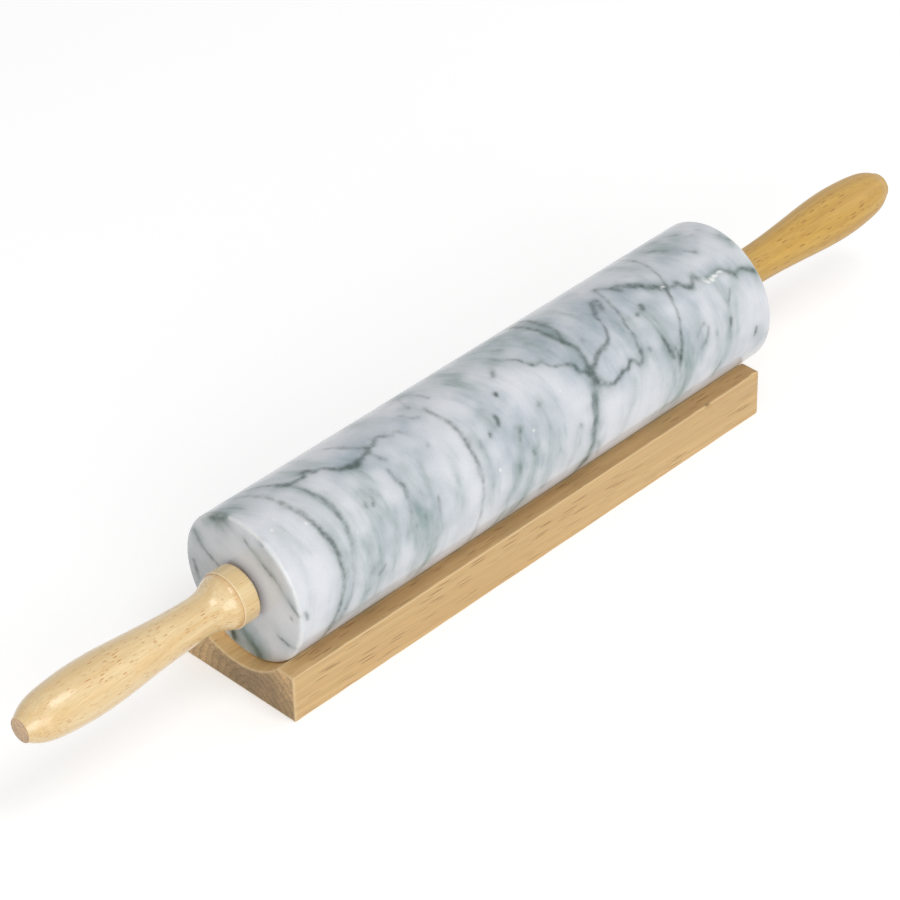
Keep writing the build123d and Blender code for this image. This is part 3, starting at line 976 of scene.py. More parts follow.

        # Painted highlight along edges, painted shade beside a handle's step, and darker dents
        marks = []
        for name, share, tone in (
            ("edge", self.edge_share, self.edge_tone),
            ("groove_shade", self.groove_share, self.groove_tone),
            ("dent", 1.0, self.dent_tone),
        ):
            mark = add_node(tree, "Attribute", attribute_name=name)["Fac"]
            marks.append((combine(tree, (mark, share)), linear(tone), "MIX"))
        colour = linear(self.pale)
        for amount, tone, blend in (
            (combine(tree, ((stripes[0], *self.stripe_tones),)), linear(self.deep), "MIX"),
            (combine(tree, (late, self.ring_depth)), linear(self.ring), "MIX"),
            (combine(tree, ((blotches[0], *self.blotch_tones),)), linear(self.deep), "MIX"),
            (1.0, combine(tree, ((fibres[0], *self.fibre_shades),)), "MULTIPLY"),
            (combine(tree, (pores, self.pore_dark)), linear(self.pore), "MIX"),
            (end_grain, ends, "MIX"),
            (ledge, linear(self.ledge_tint), "MULTIPLY"),
            (1.0, combine(tree, trough_light, (1.0,)), "MULTIPLY"),
            *marks,
        ):
            layer = {0: amount, MIX_A: colour, MIX_B: tone}
            colour = add_node(tree, "Mix", layer, data_type="RGBA", blend_type=blend)[MIX_RESULT]

        height = combine(tree, (pores, -1.0), (fibres[0], self.fibre_relief))
        relief = {"Height": height, "Strength": self.relief, "Distance": self.pore_depth * MM}
        bump = add_node(tree, "Bump", relief)[0]
        smoothest, roughest = (self.roughness + change for change in self.roughness_change)
        shader = add_node(
            tree, "BsdfPrincipled",
            {
                "Base Color": colour,
                "Roughness": combine(tree, ((fibres[0], *MIDST, smoothest, roughest),)),
                "IOR": 1.5,
                "Coat Weight": self.coat,
                "Coat Roughness": self.coat_roughness,
                "Normal": bump,
                "Coat Normal": bump,
            },
        )
        add_node(tree, "OutputMaterial", (shader[0],))
        return material


@dataclass(frozen=True)
class TurnedMetal:
    """Steel or brass, turned or rolled on a lathe: fine rings round the pin and a soft shine."""

    name: str
    colour: str
    roughness: float
    roughness_change: tuple[float, float] = (-0.1, 0.12)
    # The rings of the lathe are about 0.1 mm apart, and are drawn coarser, to show
    ring_pitch: float = 0.25
    ring_width: float = 12.0
    ring_depth: float = 0.02
    ring_relief: float = 0.1

    def material(self) -> bpy.types.Material:
        """Builds the finish from nodes.

        Returns:
            The material.
        """
        material, tree, place = start_material(self.name)
        axes = {"Vector": place, "Scale": (self.ring_pitch, self.ring_width, self.ring_width)}
        mapped = add_node(tree, "Mapping", axes, vector_type="TEXTURE")[0]
        rings = add_node(tree, "TexNoise", {"Vector": mapped, "Scale": 1.0, "Detail": 2.0})[0]
        low, high = (self.roughness + change for change in self.roughness_change)
        relief = {"Height": rings, "Strength": self.ring_relief, "Distance": self.ring_depth * MM}
        shader = add_node(
            tree, "BsdfPrincipled",
            {
                "Base Color": linear(self.colour),
                "Metallic": 1.0,
                "Roughness": add_node(tree, "MapRange", {"Value": rings, "To Min": low, "To Max": high})[0],
                "Normal": add_node(tree, "Bump", relief)[0],
            },
        )
        add_node(tree, "OutputMaterial", (shader[0],))
        return material


@dataclass(frozen=True)
class Nylon:
    """Natural nylon, moulded: milky off-white with a faint waxy mottle."""

    colour: str = "#E6E3D8"
    mottle: float = 1.8
    roughness: tuple[float, float] = (0.35, 0.55)
    shade: tuple[float, float] = (0.94, 1.04)

    def material(self) -> bpy.types.Material:
        """Builds the finish from nodes.

        Returns:
            The material.
        """
        material, tree, place = start_material("natural nylon")
        axes = {"Vector": place, "Scale": (self.mottle,) * 3}
        mapped = add_node(tree, "Mapping", axes, vector_type="TEXTURE")[0]
        clouds = add_node(tree, "TexNoise", {"Vector": mapped, "Scale": 1.0, "Detail": 2.0})[0]
        rough, shade = (
            add_node(tree, "MapRange", {"Value": clouds, "To Min": low, "To Max": high})[0]
            for low, high in (self.roughness, self.shade)
        )
        layer = {0: 1.0, MIX_A: linear(self.colour), MIX_B: shade}
        colour = add_node(tree, "Mix", layer, data_type="RGBA", blend_type="MULTIPLY")[MIX_RESULT]
        shader = add_node(tree, "BsdfPrincipled", {"Base Color": colour, "Roughness": rough, "IOR": 1.53})
        add_node(tree, "OutputMaterial", (shader[0],))
        return material


@dataclass
class Barrel:
    """The marble barrel: one turned shell with rounded rims, seats for the bushes and a bore."""

    rim_radius: float = 1.5
    bore_radius: float = 6.0
    # How deep the bore's wall is made: what lies further in can't be seen
    bore_depth: float = 4.8
    seat_radius: float = 8.0
    seat_depth: float = 1.2
    seat_chamfer: float = 0.4
    side_step: float = 0.75
    face_steps: int = 23
    rim_steps: int = 5
    segments: int = 244
    # Noises that bend the strokes: size and reach
    wobbles: tuple[tuple[float, float], ...] = ((2.4, 0.24), (6.0, 0.55))
    # How far apart a stroke is sampled
    path_step: float = 0.5
    # A stroke's width swells and thins along it by this share, over this length
    swell: float = 0.35
    swell_size: float = 5.0
    swell_seed: int = 5
    # How many points of a stroke are measured at once, and how many widths its mark reaches
    samples_at_once: int = 14
    reach: float = 4.2
    # The halo's share of a mark, and how many times wider it is
    halo: float = 0.3
    halo_width: float = 2.6
    # How wide the painted highlight along a rim shows
    rim_width: float = 0.75
    length: float = field(init=False)
    radius: float = field(init=False)
    axis: float = field(init=False)

    def __post_init__(self) -> None:
        """Takes the length, the radius and the axis's height from the frame."""
        low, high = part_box("marble_barrel")
        self.length = (high.x - low.x) / MM
        self.radius = (high.z - low.z) / 2 / MM
        self.axis = (high.z + low.z) / 2 / MM

    def outline(self) -> np.ndarray:
        """Closed outline: one half from the middle out to its bore, then the other.

        Returns:
            Rows of x and radius.
        """
        end, rim, seat = self.length / 2, self.rim_radius, self.seat_radius
        side_steps = round((end - rim) / self.side_step)
        half = np.vstack([
            line((0, self.radius), (end - rim, self.radius), side_steps),
            arc((end - rim, self.radius - rim), rim, 90, 0, self.rim_steps),
            line((end, self.radius - rim), (end, seat + self.seat_chamfer), self.face_steps),
            [(end, seat + self.seat_chamfer), (end - self.seat_chamfer, seat)],
            [(end - self.seat_depth, seat)],
            [(end - self.seat_depth, self.bore_radius), (end - self.bore_depth, self.bore_radius)],
        ])
        mirrored = half[::-1] * (-1, 1)
        return np.vstack([[(0, self.radius)], half, mirrored])

    def path(self, stroke: Stroke) -> tuple[np.ndarray, np.ndarray]:
        """Evenly spaced points along a stroke, in millimetres, with their strengths.

        A place on the side at x and turn t lies at x, -R cos t, axis + R sin t.

        Args:
            stroke: The stroke.

        Returns:
            The points and one strength a point.
        """
        places = np.array(stroke.places, float)
        if stroke.face is None:
            places = places * (1, math.radians(self.radius), 1)
        span = np.linalg.norm(np.diff(places[:, :2], axis=0), axis=1).sum()
        steps = max(int(span / self.path_step), 2)
        if len(places) > 2:
            points = curve_through(places, steps)
        else:
            points = np.linspace(places[0], places[1], steps + 1)
        a, b, strength = points.T
        if stroke.face is None:
            turn = b / self.radius
            y, z = -self.radius * np.cos(turn), self.axis + self.radius * np.sin(turn)
            points = np.stack([a, y, z], axis=1)
        else:
            x = np.full_like(a, stroke.face.side * self.length / 2)
            points = np.stack([x, a, self.axis + b], axis=1)
        return points, np.clip(strength, 0, 1)

    def marking(self, places: np.ndarray, drawn: list[Stroke]) -> np.ndarray:
        """How strongly the strokes mark each place.

        A stroke's mark at distance d is its strength times a core exp(-(d / w) squared) and
        a halo, several times wider, with its width w swelling and thinning along it. Two
        strokes' marks a and b join to a + b - a b.

        Args:
            places: Points of the surface in millimetres, already wobbled.
            drawn: The strokes of one kind.

        Returns:
            One value from 0 to 1 a place.
        """
        total = np.zeros(len(places))
        swell = 1 + self.swell * lattice_noise(places, self.swell_size, self.swell_seed)
        for stroke in drawn:
            points, strength = self.path(stroke)
            mark = np.zeros(len(places))
            cuts = np.arange(self.samples_at_once, len(points), self.samples_at_once)
            margin = stroke.width * self.reach
            for part, force in zip(np.split(points, cuts), np.split(strength, cuts)):
                low, high = part.min(axis=0) - margin, part.max(axis=0) + margin
                index = np.flatnonzero(np.all((places > low) & (places < high), axis=1))
                apart = np.linalg.norm(places[index, None] - part[None], axis=2)
                off = apart / (stroke.width * swell[index, None])
                core, halo = np.exp(-(off**2)), np.exp(-((off / self.halo_width) ** 2))
                share = ((1 - self.halo) * core + self.halo * halo) * force
                mark[index] = np.maximum(mark[index], share.max(axis=1, initial=0))
            total += mark - total * mark
        return total

    def rims(self, places: np.ndarray) -> np.ndarray:
        """How near each place is to the middle of a rounded rim, for the painted highlight along it.

        The middle of a quarter circle of radius r lies r (1 - root of a half) inside the corner
        both ways. At distance d from it the value is exp(-(d / w) squared).

        Args:
            places: Points of the surface in millimetres.

        Returns:
            One value from 0 to 1 a place.
        """
        inset = self.rim_radius * (1 - math.sqrt(0.5))
        away = np.hypot(places[:, 1], places[:, 2] - self.axis)
        off = np.hypot(np.abs(places[:, 0]) - (self.length / 2 - inset), away - (self.radius - inset))
        return np.exp(-((off / self.rim_width) ** 2))

    def build(self) -> bpy.types.Object:
        """Makes the shell, marks its stone, and sets it in the place of the frame's barrel.

        Returns:
            The piece.
        """
        vertices, faces = revolve(self.outline(), self.segments, self.axis)
        piece = make_object("barrel_stone", vertices * MM, faces)
        wobbled = vertices.copy()
        for size, reach in self.wobbles:
            for column in range(3):
                wobbled[:, column] += reach * lattice_noise(vertices, size, round(10 * size) + column)
        drawn = HOOPS + TRUNK + SEAMS + LINES + SPOTS + STREAKS + CLOUDS + CRYSTALS_AND_GLINTS
        drawn += LEFT_FACE + RIGHT_FACE + hidden_strokes()
        for mark in Mark:
            write_values(piece, mark.value, self.marking(wobbled, [s for s in drawn if s.mark is mark]))
        # A painted highlight along both rounded rims
        write_values(piece, "rim", self.rims(vertices))
        piece.data.materials.append(PolishedMarble().material())
        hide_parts("marble_barrel")
        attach(piece, "barrel")
        return piece


@dataclass
class Handle:
    """A turned handle: collar, step, bead, neck, belly and cut tip, bored for the insert and axle."""

    end: End
    wood: Wood
    collar_length: float = 7.4
    collar_edge: float = 0.5
    step_depth: float = 0.6
    bead_length: float = 3.2
    bead_drop: float = 0.85
    step_edge: float = 0.36
    # The painted shade beside the step: its width, and how far it laps over the step
    groove_width: float = 1.7
    groove_lap: float = 0.05
    neck_radius: float = 7.9
    belly_radius: float = 10.8
    tip_radius: float = 4.7
    tip_edge: float = 0.4
    insert_radius: float = 5.02
    insert_length: float = 13.0
    thread_radius: float = 3.03
    bore_length: float = 44.4
    neck_share: float = 0.225
    belly_share: float = 0.705
    cove_shares: tuple[float, float] = (0.30, 0.665)
    swell_shares: tuple[float, float] = (0.50, 0.49)
    nose_shares: tuple[tuple[float, float], ...] = ((0.50, 0.14), (0.815, 0.48))
    # The small hollow between the step and the bead: distances from the step and from the bead
    hollow: tuple[tuple[float, float], ...] = ((0.0, 0.12), (0.03, 0.04), (0.1, 0.0))
    # Degrees where the arcs of the bead and of the tip start, a little past the points before them
    bead_start: float = 87.0
    tip_start: float = 88.0
    body_steps: int = 200
    # The body's last steps, which give the slope that it ends with
    slope_steps: int = 5
    face_steps: int = 8
    collar_steps: int = 12
    bead_steps: int = 10
    edge_steps: int = 5
    tip_steps: int = 6
    segments: int = 160
    # Marks of the tool: their size, their depth, and their width round the handle as a share
    mark_size: float = 3.0
    mark_depth: float = 0.035
    mark_stretch: float = 0.35
    mark_seed: int = 40
    face: float = field(init=False)
    length: float = field(init=False)
    collar_radius: float = field(init=False)
    axis: float = field(init=False)

    def __post_init__(self) -> None:
        """Takes the face's place, the length, the collar and the axis's height from the frame."""
        low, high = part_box(f"{self.end.hand}_handle")
        self.length = (high.x - low.x) / MM
        self.face = min(abs(low.x), abs(high.x)) / MM
        self.collar_radius = (high.z - low.z) / 2 / MM
        self.axis = (high.z + low.z) / 2 / MM

    def body(self, bead_x: float, bead: float) -> np.ndarray:
        """The smooth stretch from the bead to the tip, through cove, neck, swell, belly and nose.

        Args:
            bead_x: Where the bead ends, from the face.
            bead: Its radius there.

        Returns:
            Rows of distance from the face and radius.
        """
        neck, belly = self.neck_radius, self.belly_radius
        neck_x, belly_x = self.length * self.neck_share, self.length * self.belly_share
        rest, fall = self.length - belly_x, self.tip_radius - belly
        cove_along, cove_down = self.cove_shares
        swell_along, swell_up = self.swell_shares
        knots = [
            (bead_x, bead),
            (bead_x + (neck_x - bead_x) * cove_along, bead + (neck - bead) * cove_down),
            (neck_x, neck),
            (neck_x + (belly_x - neck_x) * swell_along, neck + (belly - neck) * swell_up),
            (belly_x, belly),
            *[(belly_x + rest * along, belly + fall * down) for along, down in self.nose_shares],
            (self.length, self.tip_radius),
        ]
        return curve_through(np.array(knots), self.body_steps)

    def outline(self) -> np.ndarray:
        """Outline of the handle, from the bore's bottom round to the tip's middle.

        The bead's arc leaves the step level, so that its radius is half of the length squared
        and the drop squared, over the drop. The tip's rounding leaves the body at the body's
        own slope there.

        Returns:
            Rows of distance from the face and radius.
        """
        collar, step_x = self.collar_radius, self.collar_length
        shoulder = collar - self.step_depth
        bead_x, bead = step_x + self.bead_length, shoulder - self.bead_drop
        bead_arc = (self.bead_length**2 + self.bead_drop**2) / (2 * self.bead_drop)
        sweep = math.degrees(math.asin(self.bead_length / bead_arc))
        body = self.body(bead_x, bead)
        lip, tip, edge = self.collar_edge, self.tip_edge, self.step_edge
        run, drop = body[-1] - body[-1 - self.slope_steps]
        slope = math.atan2(-drop, run)
        trimmed = body[body[:, 0] < self.length - tip * (1 - math.sin(slope))]
        tip_z = trimmed[-1, 1] - tip * math.cos(slope)
        return np.vstack([
            [(self.bore_length, 0), (self.bore_length, self.thread_radius)],
            [(self.insert_length, self.thread_radius), (self.insert_length, self.insert_radius)],
            [(tip, self.insert_radius), (0, self.insert_radius)],
            line((0, self.insert_radius), (0, collar - lip), self.face_steps),
            arc((lip, collar - lip), lip, 180, 90, self.edge_steps),
            line((lip, collar), (step_x - edge, collar), self.collar_steps),
            arc((step_x - edge, collar - edge), edge, 90, 0, self.edge_steps),
            [(step_x + out, shoulder + up) for out, up in self.hollow],
            arc((step_x, shoulder - bead_arc), bead_arc, self.bead_start, 90 - sweep, self.bead_steps)[:-1],
            trimmed,
            arc((self.length - tip, tip_z), tip, self.tip_start - math.degrees(slope), 0, self.tip_steps),
            line((self.length, tip_z), (self.length, 0), self.tip_steps),
            [(self.length, 0)],
        ])

    def build(self) -> bpy.types.Object:
        """Makes the handle with its faint tool marks, and sets it in the place of the frame's.

        A mark presses a point of the outside towards the axis by a noise from nothing to the
        marks' depth. For the painted shade beside the step and the painted highlight along the
        step's edge, values fall off as exp(-(d / w) squared).

        Returns:
            The piece.
        """
        side, hand = self.end.side, self.end.hand
        outline = self.outline()
        outline[:, 0] = side * (self.face + outline[:, 0])
        vertices, faces = revolve(outline, self.segments, self.axis)
        stretched = vertices * (1.0, self.mark_stretch, self.mark_stretch)
        noise = lattice_noise(stretched, self.mark_size, self.mark_seed + side)[:, None]
        radial = vertices - (0, 0, self.axis)
        radial[:, 0] = 0
        away = np.linalg.norm(radial, axis=1, keepdims=True)
        pressed = radial / np.maximum(away, TINY) * ((noise - 1) / 2 * self.mark_depth)
        vertices = vertices + np.where(away > self.insert_radius + self.collar_edge, pressed, 0)
        piece = make_object(f"{hand}_handle_wood", vertices * MM, faces)
        # Painted shade in the hollow beside the step
        beyond = np.abs(vertices[:, 0]) - self.face - self.collar_length
        groove_shade = np.where(beyond > -self.groove_lap, np.exp(-((beyond / self.groove_width) ** 2)), 0)
        write_values(piece, "groove_shade", groove_shade)
        # Painted highlight along the step's edge
        corner = np.hypot(beyond, away[:, 0] - self.collar_radius)
        write_values(piece, "edge", np.exp(-((corner / self.step_edge) ** 2)))
        piece.data.materials.append(self.wood.material())
        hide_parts(f"{hand}_handle")
        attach(piece, "handles")
        return piece


@dataclass
class Cradle:
    """The wooden rest: one block with a round trough between two ledges."""

    wood: Wood
    trough_radius: float = 30.3
    trough_floor: float = 11.06
    lip_radius: float = 0.25
    edge_radius: float = 0.4
    sanded_radius: float = 2.4
    smallest_radius: float = 0.1
    length_step: float = 0.9
    edge_steps: int = 5
    bottom_edge_steps: int = 4
    side_steps: int = 14
    ledge_steps: int = 7
    lip_steps: int = 6
    trough_steps: int = 28
    bottom_steps: int = 40
    # Where the sections stand in the rounding of each end, in degrees, and the flat end's inset
    left_turns: tuple[float, ...] = (90, 60, 30)
    right_turns: tuple[float, ...] = (12, 25, 38, 51, 64, 77, 90)
    flat_inset: float = 0.6
    # How wide the painted highlight along an edge shows, and the share of a rounding's radius
    # that its middle lies inside the corner
    edge_line: float = 0.45
    rounding_share: float = 0.3
    # Dents in the front ledge's outer edge: x, length along the edge, depth
    dents: tuple[Triple, ...] = (
        (90.0, 1.3, 0.45), (117.5, 2.2, 0.9), (112.0, 2.4, 0.3), (84.0, 2.4, 0.3), (-60.0, 2.0, 0.25),
        (20.0, 1.6, 0.3), (58.0, 1.8, 0.25), (-106.0, 1.6, 0.3),
    )
    # How many of the dents, from the first, are coloured darker
    dirty_dents: int = 1
    dirt_width: float = 0.7
    dent_width: float = 0.9
    # Wear of the long edges: its noise's size, its depth and its width
    wear_size: float = 7.0
    wear_depth: float = 0.12
    wear_width: float = 0.9
    wear_stretch: float = 0.2
    wear_seed: int = 60
    left: float = field(init=False)
    right: float = field(init=False)
    half_width: float = field(init=False)
    height: float = field(init=False)

    def __post_init__(self) -> None:
        """Takes the ends, the width and the height from the frame."""
        low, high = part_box("cradle")
        self.left, self.right = low.x / MM, high.x / MM
        self.half_width, self.height = (high.y - low.y) / 2 / MM, high.z / MM

    def section(self, inset: float) -> np.ndarray:
        """Closed outline of y and z across the block, drawn in by an inset all round.

        The lip's arc touches the ledge and the trough: its middle lies its own radius below
        the ledge, and the two radii added from the trough's middle.

        Args:
            inset: How far the outline is drawn in, in millimetres.

        Returns:
            Rows of y and z.
        """
        wide, top, floor = self.half_width - inset, self.height - inset, inset
        trough = self.trough_radius + inset
        middle = self.trough_floor + self.trough_radius
        lip = max(self.lip_radius - inset, self.smallest_radius)
        edge = max(self.edge_radius - inset, self.smallest_radius)
        side = self.edge_line
        lip_z = top - lip
        lip_y = math.sqrt((trough + lip) ** 2 - (middle - lip_z) ** 2)
        meet = math.degrees(math.atan2(middle - lip_z, lip_y))
        right = np.vstack([
            arc((wide - edge, floor + edge), edge, -90, 0, self.bottom_edge_steps),
            [(wide, floor + edge + side)],
            line((wide, floor + edge + side), (wide, top - edge - side), self.side_steps),
            [(wide, top - edge - side)],
            arc((wide - edge, top - edge), edge, 0, 90, self.edge_steps),
            [(wide - edge - side, top)],
            line((wide - edge - side, top), (lip_y + side, top), self.ledge_steps),
            [(lip_y + side, top)],
            arc((lip_y, lip_z), lip, 90, 180 - meet, self.lip_steps),
            arc((0, middle), trough, -meet, -90, self.trough_steps)[1:],
        ])
        left = right[-2::-1] * (-1, 1)
        bottom = line((-(wide - edge), floor), (wide - edge, floor), self.bottom_steps)
        return np.vstack([right, left, bottom])

    def stations(self) -> list[tuple[float, float]]:
        """Places along the block and the inset of the section at each.

        An end is rounded by a quarter circle: where the place has gone r sin a towards it, the
        inset is r (1 - cos a). One more section inside the rounding keeps the flat end flat.

        Returns:
            The places and insets, from the left end to the right.
        """
        near, far = (
            [
                (end + inward * radius * (1 - math.sin(a)), radius * (1 - math.cos(a)))
                for a in np.radians(turns)
            ]
            for end, inward, radius, turns in (
                (self.left, 1, self.edge_radius, self.left_turns),
                (self.right, -1, self.sanded_radius, self.right_turns),
            )
        )
        start, stop = self.left + self.edge_radius, self.right - self.sanded_radius
        steps = round((stop - start) / self.length_step)
        between = [(x, 0.0) for x in np.linspace(start, stop, steps + 1)]
        flat_near, flat_far = self.edge_radius + self.flat_inset, self.sanded_radius + self.flat_inset
        return [(self.left, flat_near), *near, *between, *far, (self.right, flat_far)]

    def build(self) -> bpy.types.Object:
        """Makes the block, wears its edges, and sets it in the place of the frame's cradle.

        Returns:
            The piece.
        """
        stations = self.stations()
        loops = [self.section(inset) for _, inset in stations]
        x, inset = np.repeat(stations, len(loops[0]), axis=0).T
        vertices = np.column_stack([x, np.vstack(loops)])
        number = np.arange(len(vertices)).reshape(len(stations), -1)
        after = np.roll(number, -1, axis=1)
        faces = [np.stack([number[:-1], after[:-1], after[1:], number[1:]], axis=-1).reshape(-1, 4)]
        faces += [number[:1, ::-1], number[-1:]]
        piece = make_object("cradle_block", self.worn(vertices) * MM, faces)
        # A painted highlight along the edges
        write_values(piece, "edge", self.edges(vertices, inset))
        write_values(piece, "dent", self.dirt(vertices))
        piece.data.materials.append(self.wood.material())
        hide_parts("cradle")
        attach(piece, "cradle")
        return piece

    def from_front_edge(self, vertices: np.ndarray) -> np.ndarray:
        """Each point's distance from the front ledge's outer edge, across the block."""
        return np.hypot(vertices[:, 1] + self.half_width, vertices[:, 2] - self.height)

    def edges(self, vertices: np.ndarray, inset: np.ndarray) -> np.ndarray:
        """How near each point is to an edge, for the painted highlight along it, from 0 to 1.

        At distance d from an edge, the value is exp(-(d / w) squared), and the nearest edge
        counts. The edges run along the ledges, along the trough's lips and round the left end,
        where the distance is worked out from the place along the block and the inset.

        Args:
            vertices: Points of the block in millimetres.
            inset: How far the section of each is drawn in.

        Returns:
            One value a point.
        """
        middle = self.trough_floor + self.trough_radius
        lip_z = self.height - self.lip_radius
        lip_y = math.sqrt((self.trough_radius + self.lip_radius) ** 2 - (middle - lip_z) ** 2)
        across = np.abs(vertices[:, 1])
        corner = self.edge_radius * self.rounding_share
        off = np.hypot(vertices[:, 0] - self.left - corner, inset - corner)
        for y, z in ((self.half_width, 0.0), (self.half_width, self.height), (lip_y, self.height)):
            off = np.minimum(off, np.hypot(across - y, vertices[:, 2] - z))
        return np.exp(-((off / self.edge_line) ** 2))

    def dirt(self, vertices: np.ndarray) -> np.ndarray:
        """How deep each point lies in a darkened dent, from 0 to 1, as exp(-(d / w) squared).

        Args:
            vertices: Points of the block in millimetres.

        Returns:
            One value a point.
        """
        away = self.from_front_edge(vertices)
        dirt = np.zeros(len(vertices))
        for x, long, _ in self.dents[: self.dirty_dents]:
            share = np.exp(-(((vertices[:, 0] - x) / long) ** 2) - (away / self.dirt_width) ** 2)
            dirt = np.maximum(dirt, share)
        return dirt

    def worn(self, vertices: np.ndarray) -> np.ndarray:
        """Presses dents into the front ledge's outer edge and wears all the long edges a little.

        A dent's depth falls off as exp(-(d / s) squared) along the edge and away from it, and
        the wear moves a point towards the block's middle by a noise that is never below zero.

        Args:
            vertices: Points of the block in millimetres.

        Returns:
            The points after the wear.
        """
        worn = vertices.copy()
        inward = np.array([0.0, 0.0, self.height / 2]) - vertices
        inward[:, 0] = 0
        inward /= np.linalg.norm(inward, axis=1, keepdims=True)
        stretched = vertices * (1, self.wear_stretch, self.wear_stretch)
        noise = np.clip(lattice_noise(stretched, self.wear_size, self.wear_seed), 0, 1)
        for y, z in itertools.product((-self.half_width, self.half_width), (0.0, self.height)):
            away = np.hypot(vertices[:, 1] - y, vertices[:, 2] - z)
            worn += inward * (self.wear_depth * noise * np.exp(-((away / self.wear_width) ** 2)))[:, None]
        away = self.from_front_edge(vertices)
        for x, long, deep in self.dents:
            share = np.exp(-(((vertices[:, 0] - x) / long) ** 2) - (away / self.dent_width) ** 2)
            worn += inward * (deep * share)[:, None]
        return worn


@dataclass
class Fittings:
    """The metal and nylon pieces of the frame, which keep their shapes and get their finishes."""

    steel: TurnedMetal = TurnedMetal("bright turned steel", "#A9ABAD", 0.3)
    washer: TurnedMetal = TurnedMetal("zinc-plated steel", "#B9BBBA", 0.34)
    brass: TurnedMetal = TurnedMetal("turned brass", "#C9A55B", 0.3)
    nylon: Nylon = Nylon()

    def dress(self) -> list[bpy.types.Object]:
        """Gives each piece its material.

        Returns:
            The pieces.
        """
        finishes = {"axle_rod": self.steel.material()}
        for kind, finish in (("bushing", self.nylon), ("washer", self.washer), ("insert", self.brass)):
            material = finish.material()
            finishes |= {f"{end.hand}_{kind}": material for end in End}
        pieces = []
        for name, material in finishes.items():
            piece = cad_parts[name]
            piece.data.materials.clear()
            piece.data.materials.append(material)
            pieces.append(piece)
        return pieces


@dataclass(frozen=True)
class Softbox:
    """A lamp with a sheet of cloth over its front, aimed at the middle of the barrel.

    The level is what it adds to a white surface that faces it. A lamp of power P at distance d
    lights such a surface at P over pi squared and d squared.
    """

    name: str
    direction: Triple
    distance: float
    size: tuple[float, float]
    level: float

    def hang(self) -> bpy.types.Object:
        """Makes the lamp and aims it.

        Returns:
            The object that holds it.
        """
        lamp = bpy.data.lights.new(self.name, "AREA")
        lamp.shape = "RECTANGLE"
        lamp.size, lamp.size_y = self.size
        lamp.energy = self.level * math.pi**2 * self.distance**2
        holder = bpy.data.objects.new(self.name, lamp)
        towards = Vector(self.direction).normalized()
        holder.location = towards * self.distance
        holder.rotation_euler = towards.to_track_quat("Z", "Y").to_euler()
        bpy.context.scene.collection.objects.link(holder)
        return holder


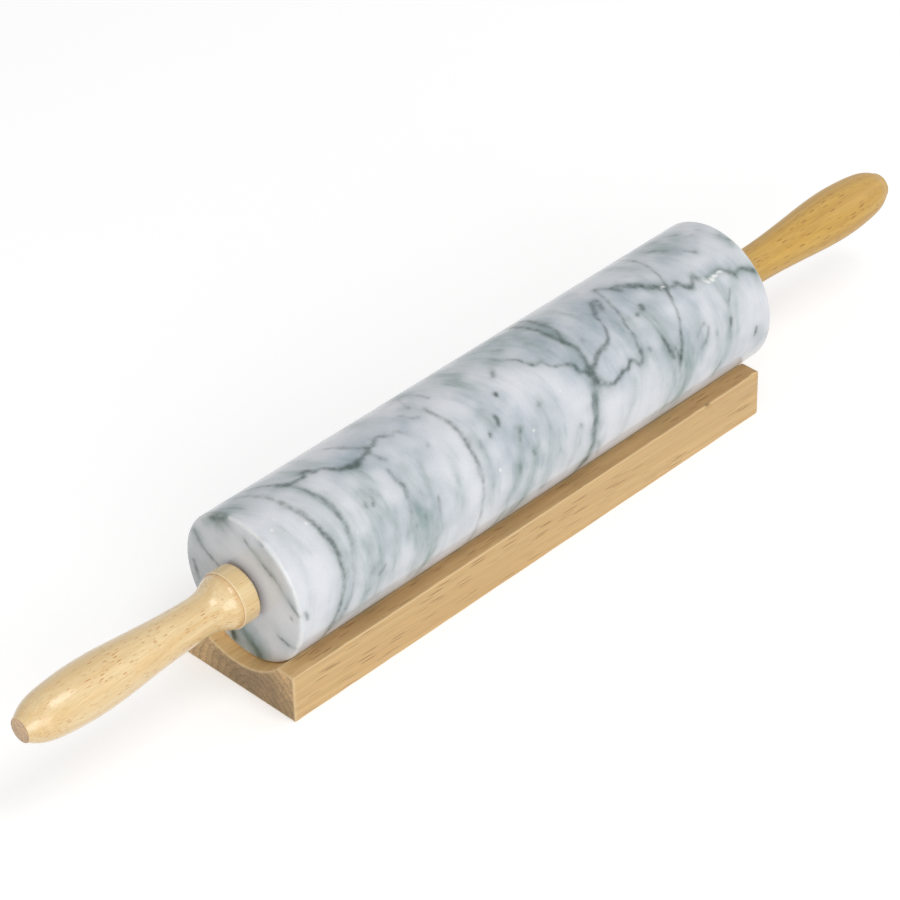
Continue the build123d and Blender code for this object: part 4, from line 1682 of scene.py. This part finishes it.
@dataclass
class Studio:
    """White floor, white surroundings, soft lamps and the camera.

    The floor's half width and the lamps' sizes and distances are metres.
    """

    floor_half: float = 4.0
    floor_drop: float = 0.05
    floor_white: str = "#E6E6E6"
    floor_lift: float = 0.42
    sky_level: float = 0.5
    eye: Triple = (-774.13, -762.90, 853.90)
    azimuth: float = -44.609
    elevation: float = 37.055
    roll: float = -1.638
    lens: float = 144.57
    sensor: float = 36.0
    lamps: tuple[Softbox, ...] = (
        Softbox("top_softbox", (0.05, -0.36, 0.93), 1.5, (0.36, 0.66), 0.17),
        Softbox("front_softbox", (-0.5, -0.8, 0.33), 2.0, (1.6, 1.2), 0.42),
        Softbox("right_softbox", (0.80, -0.35, 0.48), 1.5, (0.5, 0.7), 0.08),
    )

    def seen_directly(self, tree: bpy.types.NodeTree, otherwise: float, seen: float) -> Any:
        """Tells rays from the camera, a mirror or glass from soft light.

        Args:
            tree: The tree of a material or of the world.
            otherwise: The value for soft light.
            seen: The value for the other rays.

        Returns:
            The output with the value.
        """
        rays = add_node(tree, "LightPath")
        direct = rays["Is Camera Ray"]
        for name in ("Is Glossy Ray", "Is Transmission Ray"):
            direct = add_node(tree, "Math", (direct, rays[name]), operation="MAXIMUM")[0]
        return add_node(tree, "MapRange", {"Value": direct, "To Min": otherwise, "To Max": seen})[0]

    def set_world(self) -> None:
        """A white sky: full white where it is seen, and at its own level as light."""
        world = bpy.data.worlds.new("white_surroundings")
        world.use_nodes = True
        tree = world.node_tree
        tree.nodes.clear()
        strength = self.seen_directly(tree, self.sky_level, 1.0)
        background = add_node(tree, "Background", {"Color": WHITE, "Strength": strength})
        add_node(tree, "OutputWorld", (background[0],))
        bpy.context.scene.world = world

    def lay_floor(self) -> bpy.types.Object:
        """Lays a white floor that keeps the shadow, lifted to full white where it is seen.

        Returns:
            The floor.
        """
        half, z = self.floor_half, -self.floor_drop * MM
        corners = [(-half, -half, z), (half, -half, z), (half, half, z), (-half, half, z)]
        mesh = bpy.data.meshes.new("floor")
        mesh.from_pydata(corners, [], [(0, 1, 2, 3)])
        floor = bpy.data.objects.new("floor", mesh)
        bpy.context.scene.collection.objects.link(floor)
        material, tree, _ = start_material("white paper")
        paper = add_node(tree, "BsdfDiffuse", {"Color": linear(self.floor_white)})
        strength = self.seen_directly(tree, 0.0, self.floor_lift)
        glow = add_node(tree, "Emission", {"Color": WHITE, "Strength": strength})
        both = add_node(tree, "AddShader", (paper[0], glow[0]))
        add_node(tree, "OutputMaterial", (both[0],))
        mesh.materials.append(material)
        return floor

    def set_camera(self) -> bpy.types.Object:
        """Puts the camera at the eye, turned by azimuth and elevation and then rolled.

        Returns:
            The object that holds it.
        """
        a, e, r = (math.radians(angle) for angle in (self.azimuth, self.elevation, self.roll))
        back = Vector((math.sin(a) * math.cos(e), -math.cos(a) * math.cos(e), math.sin(e)))
        level = Vector((math.cos(a), math.sin(a), 0.0))
        upright = back.cross(level)
        right = level * math.cos(r) + upright * math.sin(r)
        up = upright * math.cos(r) - level * math.sin(r)
        camera = bpy.data.cameras.new("camera")
        camera.lens, camera.sensor_width = self.lens, self.sensor
        holder = bpy.data.objects.new("camera", camera)
        turn = Matrix((right, up, back)).transposed().to_4x4()
        holder.matrix_world = Matrix.Translation(Vector(self.eye) * MM) @ turn
        bpy.context.scene.collection.objects.link(holder)
        bpy.context.scene.camera = holder
        return holder

    def build(self) -> None:
        """Sets up the surroundings, the floor, the lamps, the camera and the plain view."""
        self.set_world()
        self.lay_floor()
        for lamp in self.lamps:
            lamp.hang()
        self.set_camera()
        bpy.context.scene.view_settings.view_transform = "Standard"


# The near handle: pale wood under a clear, hard gloss with sharp highlights
NEAR_WOOD = Wood(
    name="lacquered rubberwood, pale",
    pale="#F0D6A4", deep="#E6C489", ring="#DCB272", pore="#BC7416", end="#B08A58", end_ring="#8A6436",
    heart=(26.0, 20.0), ring_spacing=3.6, ring_depth=0.22, pore_size=(4.4, 0.72, 0.72), pore_dark=0.85,
    # The edge tone paints a highlight along the collar's step, and the hollow's tone paints shade beside it
    pore_depth=0.015, roughness=0.38, coat=0.9, coat_roughness=0.13, edge_tone="#FFF2D0", edge_share=0.5,
    groove_tone="#D39E58", groove_share=0.4,
)
# The far handle: golden wood under a duller lacquer, with soft highlights
FAR_WOOD = Wood(
    name="lacquered rubberwood, golden",
    pale="#D6AC55", deep="#C79A42", ring="#B28034", pore="#8E4E0C", end="#A67E3E", end_ring="#805A24",
    heart=(-22.0, 66.0), ring_spacing=3.6, ring_depth=0.24, pore_size=(7.5, 0.85, 0.85), pore_dark=0.75,
    pore_depth=0.015, roughness=0.45, coat=0.3, coat_roughness=0.42,
)
# The cradle: sawn, sanded and oiled, with a dry sheen and long open pores
CRADLE_WOOD = Wood(
    name="oiled rubberwood",
    pale="#DAB882", deep="#D0AB75", ring="#C69D60", pore="#80501E", end="#BD9C6E", end_ring="#74532C",
    heart=(-6.0, -8.0), lean=0.04, ring_spacing=2.9, ring_depth=0.25, pore_size=(19.0, 0.72, 0.72),
    pore_share=0.27, pore_dark=0.92, roughness=0.5, coat=0.1, coat_roughness=0.35,
    # The ledge tint paints the barrel's shadow on the ledges, the trough's share paints light bounced into
    # it, and the edge tone paints a highlight along the edges
    ledge_height=20.2, ledge_tint="#E1DAD1", trough_lift=0.28, edge_tone="#E8CFA2", edge_share=0.6,
)


def main() -> None:
    """Builds the pin, its cradle and the studio in order, and reports each piece."""
    logging.basicConfig(level=logging.INFO, format="%(name)s: %(message)s")
    pieces = [
        Barrel().build(),
        Handle(End.LEFT, NEAR_WOOD).build(),
        Handle(End.RIGHT, FAR_WOOD, tip_edge=2.6).build(),
        Cradle(CRADLE_WOOD).build(),
        *Fittings().dress(),
    ]
    Studio().build()
    for piece in pieces:
        LOG.info("%s: %d faces, %s", piece.name, len(piece.data.polygons), piece.data.materials[0].name)


if __name__ == "__main__":
    main()
